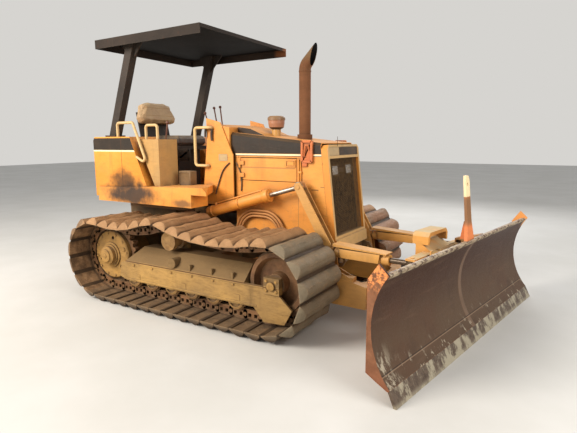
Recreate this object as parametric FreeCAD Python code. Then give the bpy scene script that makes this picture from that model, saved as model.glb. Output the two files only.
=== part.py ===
import FreeCAD, Part
import os
from math import atan2, cos, degrees, hypot, pi, radians, sin, sqrt

# Bulldozer on wide swamp tracks with an open canopy and a power angle and tilt blade.
# Sizes are in millimetres. X points forward, Y to the machine's left and Z up.
# The origin lies on the ground, on the centre line, midway between the sprocket and the idler.

# Tracks
TRACK_GAUGE = 1651.0
SHOE_WIDTH = 635.0
SHOE_COUNT = 39
SHOE_HEIGHT = 70.0
SHOE_GAP = 7.0
SHOE_LIP = 13.0
SHOE_RIDGE = 36.0
SHOE_END_BEVEL = 30.0
SHOE_END_HEIGHT = 40.0
CHAIN_RADIUS = 315.0
LINK_HALF_HEIGHT = 45.0
RAIL_INNER = 42.0
RAIL_OUTER = 80.0
FIRST_PIN_SHIFT = -6.0
SPROCKET_X = -1005.0
IDLER_X = 1015.0
FRONT_SAG_RADIUS = 1900.0
REAR_SAG_RADIUS = 1150.0
CARRIER_X = -185.0
CARRIER_RADIUS = 88.0
CARRIER_Z = 655.0
CARRIER_LIFT = 23.0
AXLE_Z = SHOE_HEIGHT + LINK_HALF_HEIGHT + CHAIN_RADIUS
TRACK_Y = TRACK_GAUGE / 2

# Sprocket, final drive, idler and rollers
TOOTH_COUNT = 25
TOOTH_TIP_RADIUS = 313.0
TOOTH_ROOT_RADIUS = 284.0
SPROCKET_WIDTH = 58.0
SPROCKET_CLEARANCE = 16.0
SPROCKET_BORE_RADIUS = 254.0
DRIVE_COVER_RADIUS = 248.0
DRIVE_FACE_Y = 902.0
DRIVE_HUB_RADIUS = 92.0
DRIVE_HUB_Y = 978.0
DRIVE_SLOT_RING = 178.0
DRIVE_SLOT_RADIUS = 19.0
IDLER_TREAD_RADIUS = 256.0
IDLER_FLANGE_RADIUS = 277.0
IDLER_FLANGE_WIDTH = 68.0
IDLER_WIDTH = 164.0
IDLER_AXLE_RADIUS = 32.0
ROLLER_RADIUS = 80.0
ROLLER_FLANGE_RADIUS = 96.0
ROLLER_GAP = 0.3
ROLLER_Z = SHOE_HEIGHT + 2 * LINK_HALF_HEIGHT + ROLLER_RADIUS + ROLLER_GAP
ROLLER_FIRST_X = -640.0
ROLLER_STEP = 252.0
ROLLER_COUNT = 6

# Track frame
FRAME_INNER_Y = 690.0
FRAME_OUTER_Y = 970.0
FRAME_PLATE = 20.0
FRAME_BOTTOM_Z = 222.0
FRAME_EDGE_Z = 412.0
FRAME_TOP_Z = 548.0
FRAME_TOP_Y = 830.0
FRAME_REAR_X = -720.0
FRAME_FRONT_X = 745.0
NOSE_FRONT_X = 1200.0
NOSE_BOTTOM_Z = 110.0

# Hull
HULL_HALF_WIDTH = 350.0
HULL_BOTTOM_Z = 385.0
HULL_TOP_Z = 745.0
REAR_CASE_REAR_X = -1330.0
UPPER_FRAME_HALF_WIDTH = 498.0
AXLE_HOUSING_RADIUS = 150.0
AXLE_HOUSING_END = 559.0
DRAWBAR_X = -1470.0
DRAWBAR_Z = 420.0
DRAWBAR_PIN_RADIUS = 20.0
TOW_LUG_X = 1318.0
TOW_LUG_Z = 535.0
TOW_LUG_Y = 290.0
TOW_HOLE_RADIUS = 22.0
TOW_LUG_WIDTH = 30.0

# Hood and grille
HOOD_HALF_WIDTH = 339.0
SHEET = 8.0
HOOD_REAR_X = 140.0
HOOD_FRONT_X = 1171.0
HOOD_REAR_Z = 1664.0
HOOD_SLOPE = 0.1064
HOOD_EDGE = 24.0
STRIPE_Z = 1463.0
INTAKE_X = 448.0
INTAKE_RADIUS = 48.0
INTAKE_BOWL_RADIUS = 82.0
EXHAUST_X = 772.0
EXHAUST_RADIUS = 56.0
EXHAUST_COLLAR = 72.0
EXHAUST_BEND_Z = 2277.0
EXHAUST_MOUTH_X = 862.0
PANEL_BOTTOM_Z = 612.0
PANEL_REAR_X = 192.0
GRILLE_FOOT_X = 1273.0
GRILLE_FOOT_Z = 713.0
GRILLE_LEAN = 6.37
GRILLE_HEIGHT = 838.0
GUARD_DEPTH = 62.0
DOOR_REAR_X = 256.0
DOOR_FRONT_X = 876.0
DOOR_BOTTOM_Z = 1212.0
DOOR_TOP_Z = 1420.0
DOOR_GAP = 6.0
DOOR_HINGE_X = 247.0
DOOR_HINGE_Y = 349.0
KNUCKLE_RADIUS = 11.0
KNUCKLE_GAP = 1.5

# Lift linkage
LIFT_PIVOT = (500.0, 400.0)
LIFT_BASE = (-123.0, 866.0)
LIFT_EYE = (968.0, 1180.0)
ARM_MIDDLE_Y = 435.0
ARM_HALF_WIDTH = 40.0
ARM_PLATE = 11.0
LIFT_BARREL = 805.0
LIFT_BARREL_RADIUS = 56.0
LIFT_ROD_RADIUS = 21.0
LIFT_ROD_LENGTH = 650.0
PIVOT_PIN_RADIUS = 34.0
PIN_RADIUS = 18.0
PIN_FIT = 0.3
EYE_DRIFT = 12.0

# Blade linkage
ANGLE_PIVOT_X = 1790.0
BLADE_ANGLE = -10.3
BLADE_REACH = 698.0
BEAM_BACKSET = 398.0
TRUNNION_Z = 350.0
TRUNNION_RADIUS = 58.0
ANGLE_BASE_X = 1290.0
ANGLE_BASE_Y = 435.0
ANGLE_Z = 640.0
ANGLE_EYE_N = BLADE_REACH - BEAM_BACKSET
ANGLE_EYE_T = 455.0
ANGLE_BARREL = 535.0
ANGLE_BARREL_RADIUS = 44.0
ANGLE_ROD_RADIUS = 22.0
ANGLE_ROD_LENGTH = 545.0
ANGLE_PIN_RADIUS = 14.0
ANGLE_EYE_DRIFT = 18.5
BEAM_HALF = 42.0
GUARD_HALF_WIDTH = 60.0
TILT_AHEAD = 96.0
TILT_N = ANGLE_EYE_N + TILT_AHEAD
TILT_BASE_T = -255.0
TILT_EYE_T = 235.0
TILT_Z = 690.0
TILT_BARREL = 385.0
TILT_BARREL_RADIUS = 38.0
TILT_ROD_RADIUS = 19.0
TILT_ROD_LENGTH = 330.0
COVER_HALF_WIDTH = 185.0
COVER_TOP_Z = 838.0
COVER_SHEET = 30.0

# Blade
BLADE_LENGTH = 2763.0
BLADE_SKIN = 16.0
BLADE_ARC = ((-50.0, 100.0), (-186.0, 410.0), (-80.0, 800.0))  # (behind the edge, height)
BLADE_BACK_N = -220.0
END_PLATE = 18.0

# Operator's place
PLATFORM_HALF_WIDTH = 735.0
PLATFORM_BOTTOM_Z = 955.0
FLOOR_TOP_Z = 975.0
FENDER_INNER_Y = 385.0
FENDER_STEP_Z = 1080.0
TANK_HALF_WIDTH = 712.0
TANK_TOP_Z = 1628.0
CANOPY_REAR_X = -1293.0
CANOPY_FRONT_X = 121.0
CANOPY_HALF_WIDTH = 722.0
CANOPY_TOP_Z = 2603.0
CANOPY_RIM = 86.0
CANOPY_SHEET = 12.0
CANOPY_FRONT_RIM = 32.0
CANOPY_BOTTOM_Z = CANOPY_TOP_Z - CANOPY_RIM
LEVER_RADIUS = 8.0
LEVER_KNOB = 17.0
LEVER_LEAN = 20.0
HOSE_RADIUS = 11.0
HOSE_STEP = 27.0
POST_FOOT_X = -1190.0
POST_HEAD_X = -868.0
RAIL_RADIUS = 14.0

X_AXIS = FreeCAD.Vector(1, 0, 0)
Y_AXIS = FreeCAD.Vector(0, 1, 0)
Z_AXIS = FreeCAD.Vector(0, 0, 1)
ORIGIN = FreeCAD.Vector(0, 0, 0)


def point(x, y, z):
    return FreeCAD.Vector(x, y, z)


def box(x0, x1, y0, y1, z0, z1):
    return Part.makeBox(x1 - x0, y1 - y0, z1 - z0, point(x0, y0, z0))


def bar(start, end, radius):
    along = end - start
    return Part.makeCylinder(radius, along.Length, start, along)


def pipe(start, end, outer, inner):
    return bar(start, end, outer).cut(bar(start, end, inner))


def closed_face(corners):
    return Part.Face(Part.makePolygon(corners + [corners[0]]))


def side_plate(outline, y0, y1):
    corners = [point(x, y0, z) for x, z in outline]
    return closed_face(corners).extrude(point(0, y1 - y0, 0))


def plan_plate(outline, z0, z1):
    corners = [point(x, y, z0) for x, y in outline]
    return closed_face(corners).extrude(point(0, 0, z1 - z0))


def cross_plate(outline, x0, x1):
    corners = [point(x0, y, z) for y, z in outline]
    return closed_face(corners).extrude(point(x1 - x0, 0, 0))


def mirrored(shape):
    return shape.mirror(ORIGIN, Y_AXIS)


def both_sides(shape):
    return Part.makeCompound([shape, mirrored(shape)])


def join(shapes):
    return shapes[0].multiFuse(shapes[1:]).removeSplitter()


def turned(shape, centre, axis, angle):
    copy = shape.copy()
    copy.rotate(centre, axis, angle)
    return copy


def moved(shape, offset):
    copy = shape.copy()
    copy.translate(offset)
    return copy


def spun(profile, start, axis_end):
    """Turn a profile of (distance along the axis, radius) pairs about the line start to axis_end."""
    corners = [point(along, 0, radius) for along, radius in profile]
    solid = closed_face(corners).revolve(ORIGIN, X_AXIS, 360)
    placed = FreeCAD.Placement(start, FreeCAD.Rotation(X_AXIS, axis_end - start))
    solid.Placement = placed
    return solid


def bent_bar(points, bend, radius):
    """Sweep a round bar along straight runs joined by tangent arcs."""
    edges = []
    here = points[0]
    for before, corner, after in zip(points, points[1:], points[2:]):
        back = (before - corner).normalize()
        onward = (after - corner).normalize()
        half = back.getAngle(onward) / 2
        reach = bend / abs(sin(half) / cos(half))
        start = corner + back * reach
        end = corner + onward * reach
        middle_way = (back + onward).normalize()
        middle = corner + middle_way * (bend / sin(half) - bend)
        edges.append(Part.makeLine(here, start))
        edges.append(Part.Arc(start, middle, end).toShape())
        here = end
    edges.append(Part.makeLine(here, points[-1]))
    wire = Part.Wire(edges)
    first = points[1] - points[0]
    ring = Part.Wire(Part.makeCircle(radius, points[0], first))
    return wire.makePipeShell([ring], True, False)


# The loop of a track: pins at equal steps round the sprocket, the idler and the carrier roller

def sag_centre(right, right_radius, left, left_radius, sag_radius):
    """Find the centre, above the run, of an arc that touches two round bodies from above."""
    to_right = right_radius + sag_radius
    to_left = left_radius + sag_radius
    span_x = left[0] - right[0]
    span_z = left[1] - right[1]
    span = hypot(span_x, span_z)
    along = (to_right ** 2 - to_left ** 2 + span ** 2) / (2 * span)
    across = sqrt(to_right ** 2 - along ** 2)
    unit_x = span_x / span
    unit_z = span_z / span
    return (right[0] + unit_x * along + unit_z * across,
            right[1] + unit_z * along - unit_x * across)


def bearing(centre, target):
    return atan2(target[1] - centre[1], target[0] - centre[0])


def loop_arcs():
    """List the arcs after the ground run as centre, radius, start angle and end angle."""
    sprocket = (SPROCKET_X, AXLE_Z)
    idler = (IDLER_X, AXLE_Z)
    carrier = (CARRIER_X, CARRIER_Z)
    over_carrier = CARRIER_RADIUS + LINK_HALF_HEIGHT + CARRIER_LIFT
    front = sag_centre(idler, CHAIN_RADIUS, carrier, over_carrier, FRONT_SAG_RADIUS)
    rear = sag_centre(carrier, over_carrier, sprocket, CHAIN_RADIUS, REAR_SAG_RADIUS)
    if front[1] < AXLE_Z:
        raise ValueError("front sag centre lies below the run")
    return [
        (idler, CHAIN_RADIUS, -pi / 2, bearing(idler, front)),
        (front, FRONT_SAG_RADIUS, bearing(front, idler), bearing(front, carrier)),
        (carrier, over_carrier, bearing(carrier, front), bearing(carrier, rear)),
        (rear, REAR_SAG_RADIUS, bearing(rear, carrier), bearing(rear, sprocket)),
        (sprocket, CHAIN_RADIUS, bearing(sprocket, rear), 3 * pi / 2),
    ]


def loop_length():
    arcs = loop_arcs()
    return IDLER_X - SPROCKET_X + sum(radius * abs(end - start) for _, radius, start, end in arcs)


def loop_point(distance):
    """Give the (x, z) point at a distance along the loop from below the sprocket."""
    left = distance % loop_length()
    ground = IDLER_X - SPROCKET_X
    if left <= ground:
        return (SPROCKET_X + left, AXLE_Z - CHAIN_RADIUS)
    left -= ground
    for centre, radius, start, end in loop_arcs():
        length = radius * abs(end - start)
        if left <= length:
            angle = start + (end - start) * left / length
            return (centre[0] + radius * cos(angle), centre[1] + radius * sin(angle))
        left -= length
    return (SPROCKET_X, AXLE_Z - CHAIN_RADIUS)


def chain_pins():
    step = loop_length() / SHOE_COUNT
    return [loop_point(FIRST_PIN_SHIFT + step * index) for index in range(SHOE_COUNT)]


def outward(start, end):
    length = hypot(end[0] - start[0], end[1] - start[1])
    return ((end[1] - start[1]) / length, -(end[0] - start[0]) / length)


def offset_loop(pins, distance):
    """Move each side of the closed chain outward by a distance and give the new corners."""
    corners = []
    for index, here in enumerate(pins):
        before = pins[index - 1]
        after = pins[(index + 1) % len(pins)]
        one = outward(before, here)
        two = outward(here, after)
        scale = distance / (1 + one[0] * two[0] + one[1] * two[1])
        corners.append((here[0] + (one[0] + two[0]) * scale, here[1] + (one[1] + two[1]) * scale))
    return corners


def shoe():
    """One swamp shoe under a level link whose pin line is at the origin, ridge down."""
    pitch = loop_length() / SHOE_COUNT
    half = (pitch - SHOE_GAP) / 2
    top = -LINK_HALF_HEIGHT
    tip = top - SHOE_HEIGHT
    lip = top - SHOE_LIP
    ridge = SHOE_RIDGE / 2
    profile = [(-half, top), (-half, lip), (-ridge, tip), (ridge, tip), (half, lip), (half, top)]
    end = SHOE_WIDTH / 2
    ramp = end - SHOE_END_BEVEL
    drop = top - SHOE_END_HEIGHT
    ends = [(-end, top), (-end, drop), (-ramp, tip), (ramp, tip), (end, drop), (end, top)]
    return side_plate(profile, -end, end).common(cross_plate(ends, -half - 1, half + 1))


def track():
    """One track on the centre line: two chain rails with their shoes in one closed loop."""
    pins = chain_pins()
    outer = offset_loop(pins, LINK_HALF_HEIGHT)
    inner = offset_loop(pins, -LINK_HALF_HEIGHT)
    rail = side_plate(outer, RAIL_INNER, RAIL_OUTER)
    rail = rail.cut(side_plate(inner, RAIL_INNER - 1, RAIL_OUTER + 1))
    one_shoe = shoe()
    shoes = []
    for start, end in zip(pins, pins[1:] + pins[:1]):
        middle = point((start[0] + end[0]) / 2, 0, (start[1] + end[1]) / 2)
        slope = degrees(atan2(end[1] - start[1], end[0] - start[0]))
        shoes.append(moved(turned(one_shoe, ORIGIN, Y_AXIS, -slope), middle))
    return rail.multiFuse([mirrored(rail)] + shoes)


def sprocket():
    """Toothed ring with its web, on the right side's centre line at y = -TRACK_Y."""
    step = 2 * pi / TOOTH_COUNT
    corners = []
    for tooth in range(TOOTH_COUNT):
        for part, radius in ((-0.34, TOOTH_ROOT_RADIUS), (-0.13, TOOTH_TIP_RADIUS),
                             (0.13, TOOTH_TIP_RADIUS), (0.34, TOOTH_ROOT_RADIUS)):
            angle = (tooth + part) * step
            corners.append((SPROCKET_X + radius * cos(angle), AXLE_Z + radius * sin(angle)))
    half = SPROCKET_WIDTH / 2
    ring = side_plate(corners, -TRACK_Y - half, -TRACK_Y + half)
    bore = bar(point(SPROCKET_X, -TRACK_Y - half - 1, AXLE_Z),
               point(SPROCKET_X, -TRACK_Y, AXLE_Z), SPROCKET_BORE_RADIUS)
    eye = bar(point(SPROCKET_X, -TRACK_Y - half - 1, AXLE_Z),
              point(SPROCKET_X, -TRACK_Y + half + 1, AXLE_Z), 120)
    return ring.cut(bore).cut(eye)


def final_drive():
    """Right final drive: cover disc with slots, hub boss and the drum through the sprocket."""
    centre = point(SPROCKET_X, 0, AXLE_Z)
    profile = [(-AXLE_HOUSING_END, 0), (-AXLE_HOUSING_END, 185), (-760.0, 185), (-760.0, 119), (-TRACK_Y, 119),
               (-TRACK_Y, DRIVE_COVER_RADIUS), (-DRIVE_FACE_Y + 10, DRIVE_COVER_RADIUS),
               (-DRIVE_FACE_Y, DRIVE_COVER_RADIUS - 10), (-DRIVE_FACE_Y, DRIVE_HUB_RADIUS + 22),
               (-DRIVE_FACE_Y - 22, DRIVE_HUB_RADIUS), (-DRIVE_HUB_Y + 14, DRIVE_HUB_RADIUS),
               (-DRIVE_HUB_Y, DRIVE_HUB_RADIUS - 26), (-DRIVE_HUB_Y, 0)]
    solid = spun(profile, centre, centre + Y_AXIS)
    for index in range(3):
        angle = radians(80 + 120 * index)
        across = DRIVE_SLOT_RING * cos(angle)
        up = DRIVE_SLOT_RING * sin(angle)
        hole = bar(centre + point(across, -DRIVE_FACE_Y - 1, up),
                   centre + point(across, -DRIVE_FACE_Y + 34, up), DRIVE_SLOT_RADIUS)
        solid = solid.cut(hole)
    return solid


def idler():
    """Right front idler with its middle flange, dished web and hub."""
    centre = point(IDLER_X, -TRACK_Y, AXLE_Z)
    half = IDLER_WIDTH / 2
    flange = IDLER_FLANGE_WIDTH / 2
    bore = IDLER_AXLE_RADIUS + PIN_FIT
    rim = IDLER_TREAD_RADIUS
    profile = [(-half, rim - 34), (-half, rim), (-flange, rim), (-flange, IDLER_FLANGE_RADIUS),
               (flange, IDLER_FLANGE_RADIUS), (flange, rim), (half, rim), (half, rim - 34),
               (20, rim - 60), (20, 96), (half + 8, 84), (half + 8, bore), (-half - 8, bore),
               (-half - 8, 84), (-20, 96), (-20, rim - 60)]
    return spun(profile, centre, centre + Y_AXIS)


def ground_roller(x):
    """One right bottom roller with its two pairs of flanges."""
    centre = point(x, -TRACK_Y, ROLLER_Z)
    flange = ROLLER_FLANGE_RADIUS
    tread = ROLLER_RADIUS
    profile = [(-104, 0), (-104, 38), (-98, 38), (-98, flange), (-84, flange), (-84, tread),
               (-38, tread), (-38, flange - 14), (38, flange - 14), (38, tread), (84, tread),
               (84, flange), (98, flange), (98, 38), (104, 38), (104, 0)]
    return spun(profile, centre, centre + Y_AXIS)


def carrier_roller():
    """Right carrier roller under the top run with the post that holds it."""
    centre = point(CARRIER_X, -TRACK_Y, CARRIER_Z)
    tread = CARRIER_RADIUS
    profile = [(-96, 0), (-96, 40), (-88, tread - 26), (-84, tread), (-38, tread),
               (-38, tread - 16), (38, tread - 16), (38, tread), (84, tread), (88, 40),
               (120, 40), (120, 0)]
    return spun(profile, centre, centre + Y_AXIS)


def rollers():
    solids = []
    for index in range(ROLLER_COUNT):
        solids.append(ground_roller(ROLLER_FIRST_X + ROLLER_STEP * index))
    solids.append(carrier_roller())
    return Part.makeCompound(solids + [mirrored(solid) for solid in solids])


def track_frame():
    """Right track frame: box over the rollers, roller guards, nose under the idler, brackets."""
    outer = [(FRAME_REAR_X - 90, 250), (FRAME_REAR_X - 60, FRAME_EDGE_Z - 20),
             (FRAME_REAR_X, FRAME_EDGE_Z), (FRAME_FRONT_X + 270, FRAME_EDGE_Z),
             (NOSE_FRONT_X - 90, 330), (NOSE_FRONT_X, 250), (NOSE_FRONT_X - 70, NOSE_BOTTOM_Z + 10),
             (930, NOSE_BOTTOM_Z), (830, FRAME_BOTTOM_Z), (FRAME_REAR_X, FRAME_BOTTOM_Z)]
    plate = side_plate(outer, -FRAME_OUTER_Y, -FRAME_OUTER_Y + FRAME_PLATE)
    inner = side_plate(outer, -FRAME_INNER_Y - FRAME_PLATE, -FRAME_INNER_Y)
    roof = 352.0
    section = [(-FRAME_OUTER_Y, roof), (-FRAME_OUTER_Y, FRAME_EDGE_Z), (-FRAME_TOP_Y, FRAME_TOP_Z),
               (-FRAME_INNER_Y, FRAME_TOP_Z), (-FRAME_INNER_Y, roof)]
    beam = cross_plate(section, FRAME_REAR_X, FRAME_FRONT_X - 10)
    slope = [(FRAME_REAR_X - 1, FRAME_TOP_Z + 1), (FRAME_REAR_X - 1, FRAME_EDGE_Z),
             (FRAME_REAR_X + 130, FRAME_TOP_Z + 1)]
    beam = beam.cut(side_plate(slope, -FRAME_OUTER_Y - 1, -FRAME_INNER_Y + 1))
    slot_half = SPROCKET_WIDTH / 2 + SPROCKET_CLEARANCE
    slot = box(FRAME_REAR_X - 5, SPROCKET_X + TOOTH_TIP_RADIUS + SPROCKET_CLEARANCE,
               -TRACK_Y - slot_half, -TRACK_Y + slot_half, roof - 5, FRAME_TOP_Z + 5)
    beam = beam.cut(slot)
    idler_block = box(IDLER_X - 74, IDLER_X + 74, -FRAME_OUTER_Y - 12, -FRAME_OUTER_Y + 40,
                      AXLE_Z - 72, AXLE_Z + 66)
    idler_block_in = box(IDLER_X - 74, IDLER_X + 74, -FRAME_INNER_Y - 34, -FRAME_INNER_Y + 2,
                         AXLE_Z - 72, AXLE_Z + 66)
    axle = bar(point(IDLER_X, -FRAME_OUTER_Y + 6, AXLE_Z), point(IDLER_X, -FRAME_INNER_Y - 6, AXLE_Z),
               IDLER_AXLE_RADIUS)
    boss = bar(point(-90, -FRAME_OUTER_Y + 90, 470), point(-90, -FRAME_OUTER_Y - 2, 470), 46)
    post_y = -FRAME_INNER_Y - 10
    post = side_plate([(CARRIER_X - 130, FRAME_TOP_Z - 5), (CARRIER_X - 40, CARRIER_Z + 42),
                       (CARRIER_X + 40, CARRIER_Z + 42), (CARRIER_X + 70, FRAME_TOP_Z - 5)],
                      post_y - 5.5, post_y + 26)
    pivot = bar(point(-560, -FRAME_INNER_Y - 40, 470), point(-560, -HULL_HALF_WIDTH, 470), 62)
    keeps = []
    for index in range(ROLLER_COUNT):
        x = ROLLER_FIRST_X + ROLLER_STEP * index
        for y0, y1 in ((-FRAME_OUTER_Y + 8, -TRACK_Y - 104), (-TRACK_Y + 104, -FRAME_INNER_Y - 8)):
            keeps.append(box(x - 48, x + 48, y0, y1, ROLLER_Z - 30, roof + 10))
    return join([plate, inner, beam, idler_block, idler_block_in, axle, boss, post, pivot] + keeps)


def hull():
    """Main frame with rear case, axle housings, lift brackets, tow lugs and drawbar."""
    half = HULL_HALF_WIDTH
    belly = side_plate([(-1180, HULL_BOTTOM_Z), (1120, HULL_BOTTOM_Z), (1262, 470),
                        (1262, 612), (190, 612), (190, HULL_TOP_Z), (-700, HULL_TOP_Z),
                        (-1180, HULL_TOP_Z)], -half, half)
    rear = side_plate([(REAR_CASE_REAR_X, 330), (-820, 330), (-700, HULL_BOTTOM_Z), (-600, 950),
                       (-1250, 950), (REAR_CASE_REAR_X, 860)], -half, half)
    upper = box(-1160, -210, -UPPER_FRAME_HALF_WIDTH, UPPER_FRAME_HALF_WIDTH, 880, 953)
    axle = bar(point(SPROCKET_X, -AXLE_HOUSING_END, AXLE_Z), point(SPROCKET_X, AXLE_HOUSING_END, AXLE_Z),
               AXLE_HOUSING_RADIUS)
    solids = [belly, rear, upper, axle]
    bar_x = 205.0
    beam = box(bar_x - 55, bar_x + 55, -FRAME_INNER_Y + 1, FRAME_INNER_Y - 1, 430, 545)
    solids.append(beam)
    ends = ARM_MIDDLE_Y + ARM_HALF_WIDTH
    for side in (-1, 1):
        block = box(LIFT_BASE[0] - 70, LIFT_BASE[0] + 75, min(side * half, side * ends),
                    max(side * half, side * ends), 660, 780)
        solids.append(block)
        ear = [(LIFT_BASE[0] - 70, 700), (LIFT_BASE[0] + 75, 700), (LIFT_BASE[0] + 45, 850),
               (LIFT_BASE[0] + 30, 906), (LIFT_BASE[0] - 30, 906), (LIFT_BASE[0] - 48, 866)]
        for y in (ends - ARM_PLATE, ARM_MIDDLE_Y - ARM_HALF_WIDTH):
            solids.append(side_plate(ear, side * y, side * (y + ARM_PLATE)))
        solids.append(bar(point(LIFT_BASE[0], side * (ARM_MIDDLE_Y - ARM_HALF_WIDTH - 4), LIFT_BASE[1]),
                          point(LIFT_BASE[0], side * (ends + 8), LIFT_BASE[1]), PIN_RADIUS))
        solids.append(bar(point(LIFT_PIVOT[0], side * (half - 20), LIFT_PIVOT[1]),
                          point(LIFT_PIVOT[0], side * (ends + 6), LIFT_PIVOT[1]), PIVOT_PIN_RADIUS))
        lug = side_plate([(1240, 470), (TOW_LUG_X + 10, 482), (TOW_LUG_X + 46, TOW_LUG_Z),
                          (TOW_LUG_X + 22, 590), (1240, 606)], side * TOW_LUG_Y,
                         side * (TOW_LUG_Y + TOW_LUG_WIDTH))
        hole = bar(point(TOW_LUG_X, side * (TOW_LUG_Y - 5), TOW_LUG_Z),
                   point(TOW_LUG_X, side * (TOW_LUG_Y + TOW_LUG_WIDTH + 5), TOW_LUG_Z), TOW_HOLE_RADIUS)
        solids.append(lug.cut(hole))
    for side in (-1, 1):
        for x0, x1 in ((185, 300), (665, 790)):
            solids.append(box(x0, x1, min(side * 345, side * 390), max(side * 345, side * 390), 545, 640))
    for z0, z1 in ((DRAWBAR_Z - 55, DRAWBAR_Z - 27), (DRAWBAR_Z + 27, DRAWBAR_Z + 55)):
        tongue = [(REAR_CASE_REAR_X + 5, -110), (REAR_CASE_REAR_X + 5, 110), (DRAWBAR_X - 20, 62),
                  (DRAWBAR_X - 55, 30), (DRAWBAR_X - 55, -30), (DRAWBAR_X - 20, -62)]
        solids.append(plan_plate(tongue, z0, z1))
    solids.append(box(REAR_CASE_REAR_X - 22, REAR_CASE_REAR_X + 5, -150, 150, 340, 520))
    whole = join(solids)
    pin = bar(point(DRAWBAR_X, 0, DRAWBAR_Z - 60), point(DRAWBAR_X, 0, DRAWBAR_Z + 60), DRAWBAR_PIN_RADIUS)
    return whole.cut(pin)


def hood():
    """Sloping hood shell with folded edges and the raised cowl in front of the operator."""
    half = HOOD_HALF_WIDTH
    run = HOOD_FRONT_X - HOOD_REAR_X
    fall = point(run, 0, -HOOD_SLOPE * run)

    def shell(inset, extra):
        low = STRIPE_Z - 300
        top = HOOD_REAR_Z - inset
        edge = HOOD_EDGE
        wide = half - inset
        section = [(-wide, low), (-wide, top - edge), (-wide + edge, top), (wide - edge, top),
                   (wide, top - edge), (wide, low)]
        start = point(-extra, 0, HOOD_SLOPE * extra)
        corners = [point(HOOD_REAR_X, y, z) + start for y, z in section]
        return closed_face(corners).extrude(fall + start * -2)

    body = shell(0, 0).cut(shell(SHEET, 5))
    keep = box(HOOD_REAR_X - 20, HOOD_FRONT_X + 20, -half - 5, half + 5, STRIPE_Z, 1800)
    body = body.common(keep)
    body = body.cut(leaned(box(-GUARD_DEPTH - 0.5, 300, -half - 9, half + 9, -200, 1200)))
    raised = side_plate([(HOOD_REAR_X + 8, 1640), (HOOD_REAR_X + 8, 1715), (294, 1697), (452, 1634),
                         (452, 1626)], -232, 232)
    neck = bar(point(INTAKE_X, 0, 1500), point(INTAKE_X, 0, 1800), INTAKE_RADIUS + PIN_FIT)
    stack = bar(point(EXHAUST_X, 0, 1500), point(EXHAUST_X, 0, 1800), EXHAUST_COLLAR + PIN_FIT)
    return join([body, raised]).cut(neck).cut(stack)


def panel_outline():
    lean = (STRIPE_Z - GRILLE_FOOT_Z) * sin(radians(GRILLE_LEAN)) / cos(radians(GRILLE_LEAN))
    low = (GRILLE_FOOT_Z - PANEL_BOTTOM_Z) * sin(radians(GRILLE_LEAN)) / cos(radians(GRILLE_LEAN))
    front = GRILLE_FOOT_X - GUARD_DEPTH - 2
    return [(PANEL_REAR_X, PANEL_BOTTOM_Z), (PANEL_REAR_X, STRIPE_Z),
            (front - lean, STRIPE_Z), (front + low, PANEL_BOTTOM_Z)]


def side_panel():
    """Right engine side panel with its door opening and hinge knuckles."""
    y0 = -HOOD_HALF_WIDTH
    y1 = y0 + SHEET
    panel = side_plate(panel_outline(), y0, y1)
    opening = box(DOOR_REAR_X - DOOR_GAP, DOOR_FRONT_X + DOOR_GAP, y0 - 1, y1 + 1,
                  DOOR_BOTTOM_Z - DOOR_GAP, DOOR_TOP_Z + DOOR_GAP)
    panel = panel.cut(opening)
    knuckles = []
    for z in (DOOR_BOTTOM_Z + 20, DOOR_TOP_Z - 70):
        knuckles.append(bar(point(DOOR_HINGE_X, -DOOR_HINGE_Y, z - 22),
                            point(DOOR_HINGE_X, -DOOR_HINGE_Y, z), KNUCKLE_RADIUS))
    return join([panel] + knuckles)


def door():
    """Right engine door with its hinge knuckles and a latch."""
    y0 = -HOOD_HALF_WIDTH
    y1 = y0 + SHEET
    leaf = box(DOOR_REAR_X, DOOR_FRONT_X, y0, y1, DOOR_BOTTOM_Z, DOOR_TOP_Z)
    solids = [leaf]
    for z in (DOOR_BOTTOM_Z + 20, DOOR_TOP_Z - 70):
        solids.append(bar(point(DOOR_HINGE_X, -DOOR_HINGE_Y, z + 1),
                          point(DOOR_HINGE_X, -DOOR_HINGE_Y, z + 48), KNUCKLE_RADIUS - KNUCKLE_GAP))
        solids.append(box(DOOR_HINGE_X + 2, DOOR_REAR_X + 40, -DOOR_HINGE_Y - 4, y0 - 0.3, z + 6, z + 44))
        solids.append(box(DOOR_REAR_X + 1, DOOR_REAR_X + 40, -DOOR_HINGE_Y - 4, y0 + 1, z + 6, z + 44))
    solids.append(box(DOOR_FRONT_X - 90, DOOR_FRONT_X - 24, y0 - 8, y0 + 1, DOOR_TOP_Z - 62, DOOR_TOP_Z - 24))
    return join(solids)


def leaned(shape):
    """Take a shape built upright at the grille's foot and lean it back with the grille."""
    placed = turned(shape, ORIGIN, Y_AXIS, -GRILLE_LEAN)
    return moved(placed, point(GRILLE_FOOT_X, 0, GRILLE_FOOT_Z))


def radiator_guard():
    """Front frame around the grille with the blank name strip above and the bumper below."""
    half = HOOD_HALF_WIDTH
    corner = 34.0
    outline = [(-half, 0), (-half, GRILLE_HEIGHT - corner), (-half + corner, GRILLE_HEIGHT),
               (half - corner, GRILLE_HEIGHT), (half, GRILLE_HEIGHT - corner), (half, 0)]
    frame = cross_plate(outline, -GUARD_DEPTH, 0)
    frame = frame.cut(box(-GUARD_DEPTH - 1, 1, -half + 30, half - 30, 26, GRILLE_HEIGHT - 122))
    frame = frame.cut(box(-5, 1, -half + 34, half - 34, GRILLE_HEIGHT - 98, GRILLE_HEIGHT - 20))
    bumper = box(-26, 12, -half, half, -98.5, 0)
    bumper_back = box(-GUARD_DEPTH, -20, -half + 12, half - 12, -70, 4)
    return leaned(join([frame, bumper, bumper_back]))


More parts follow.
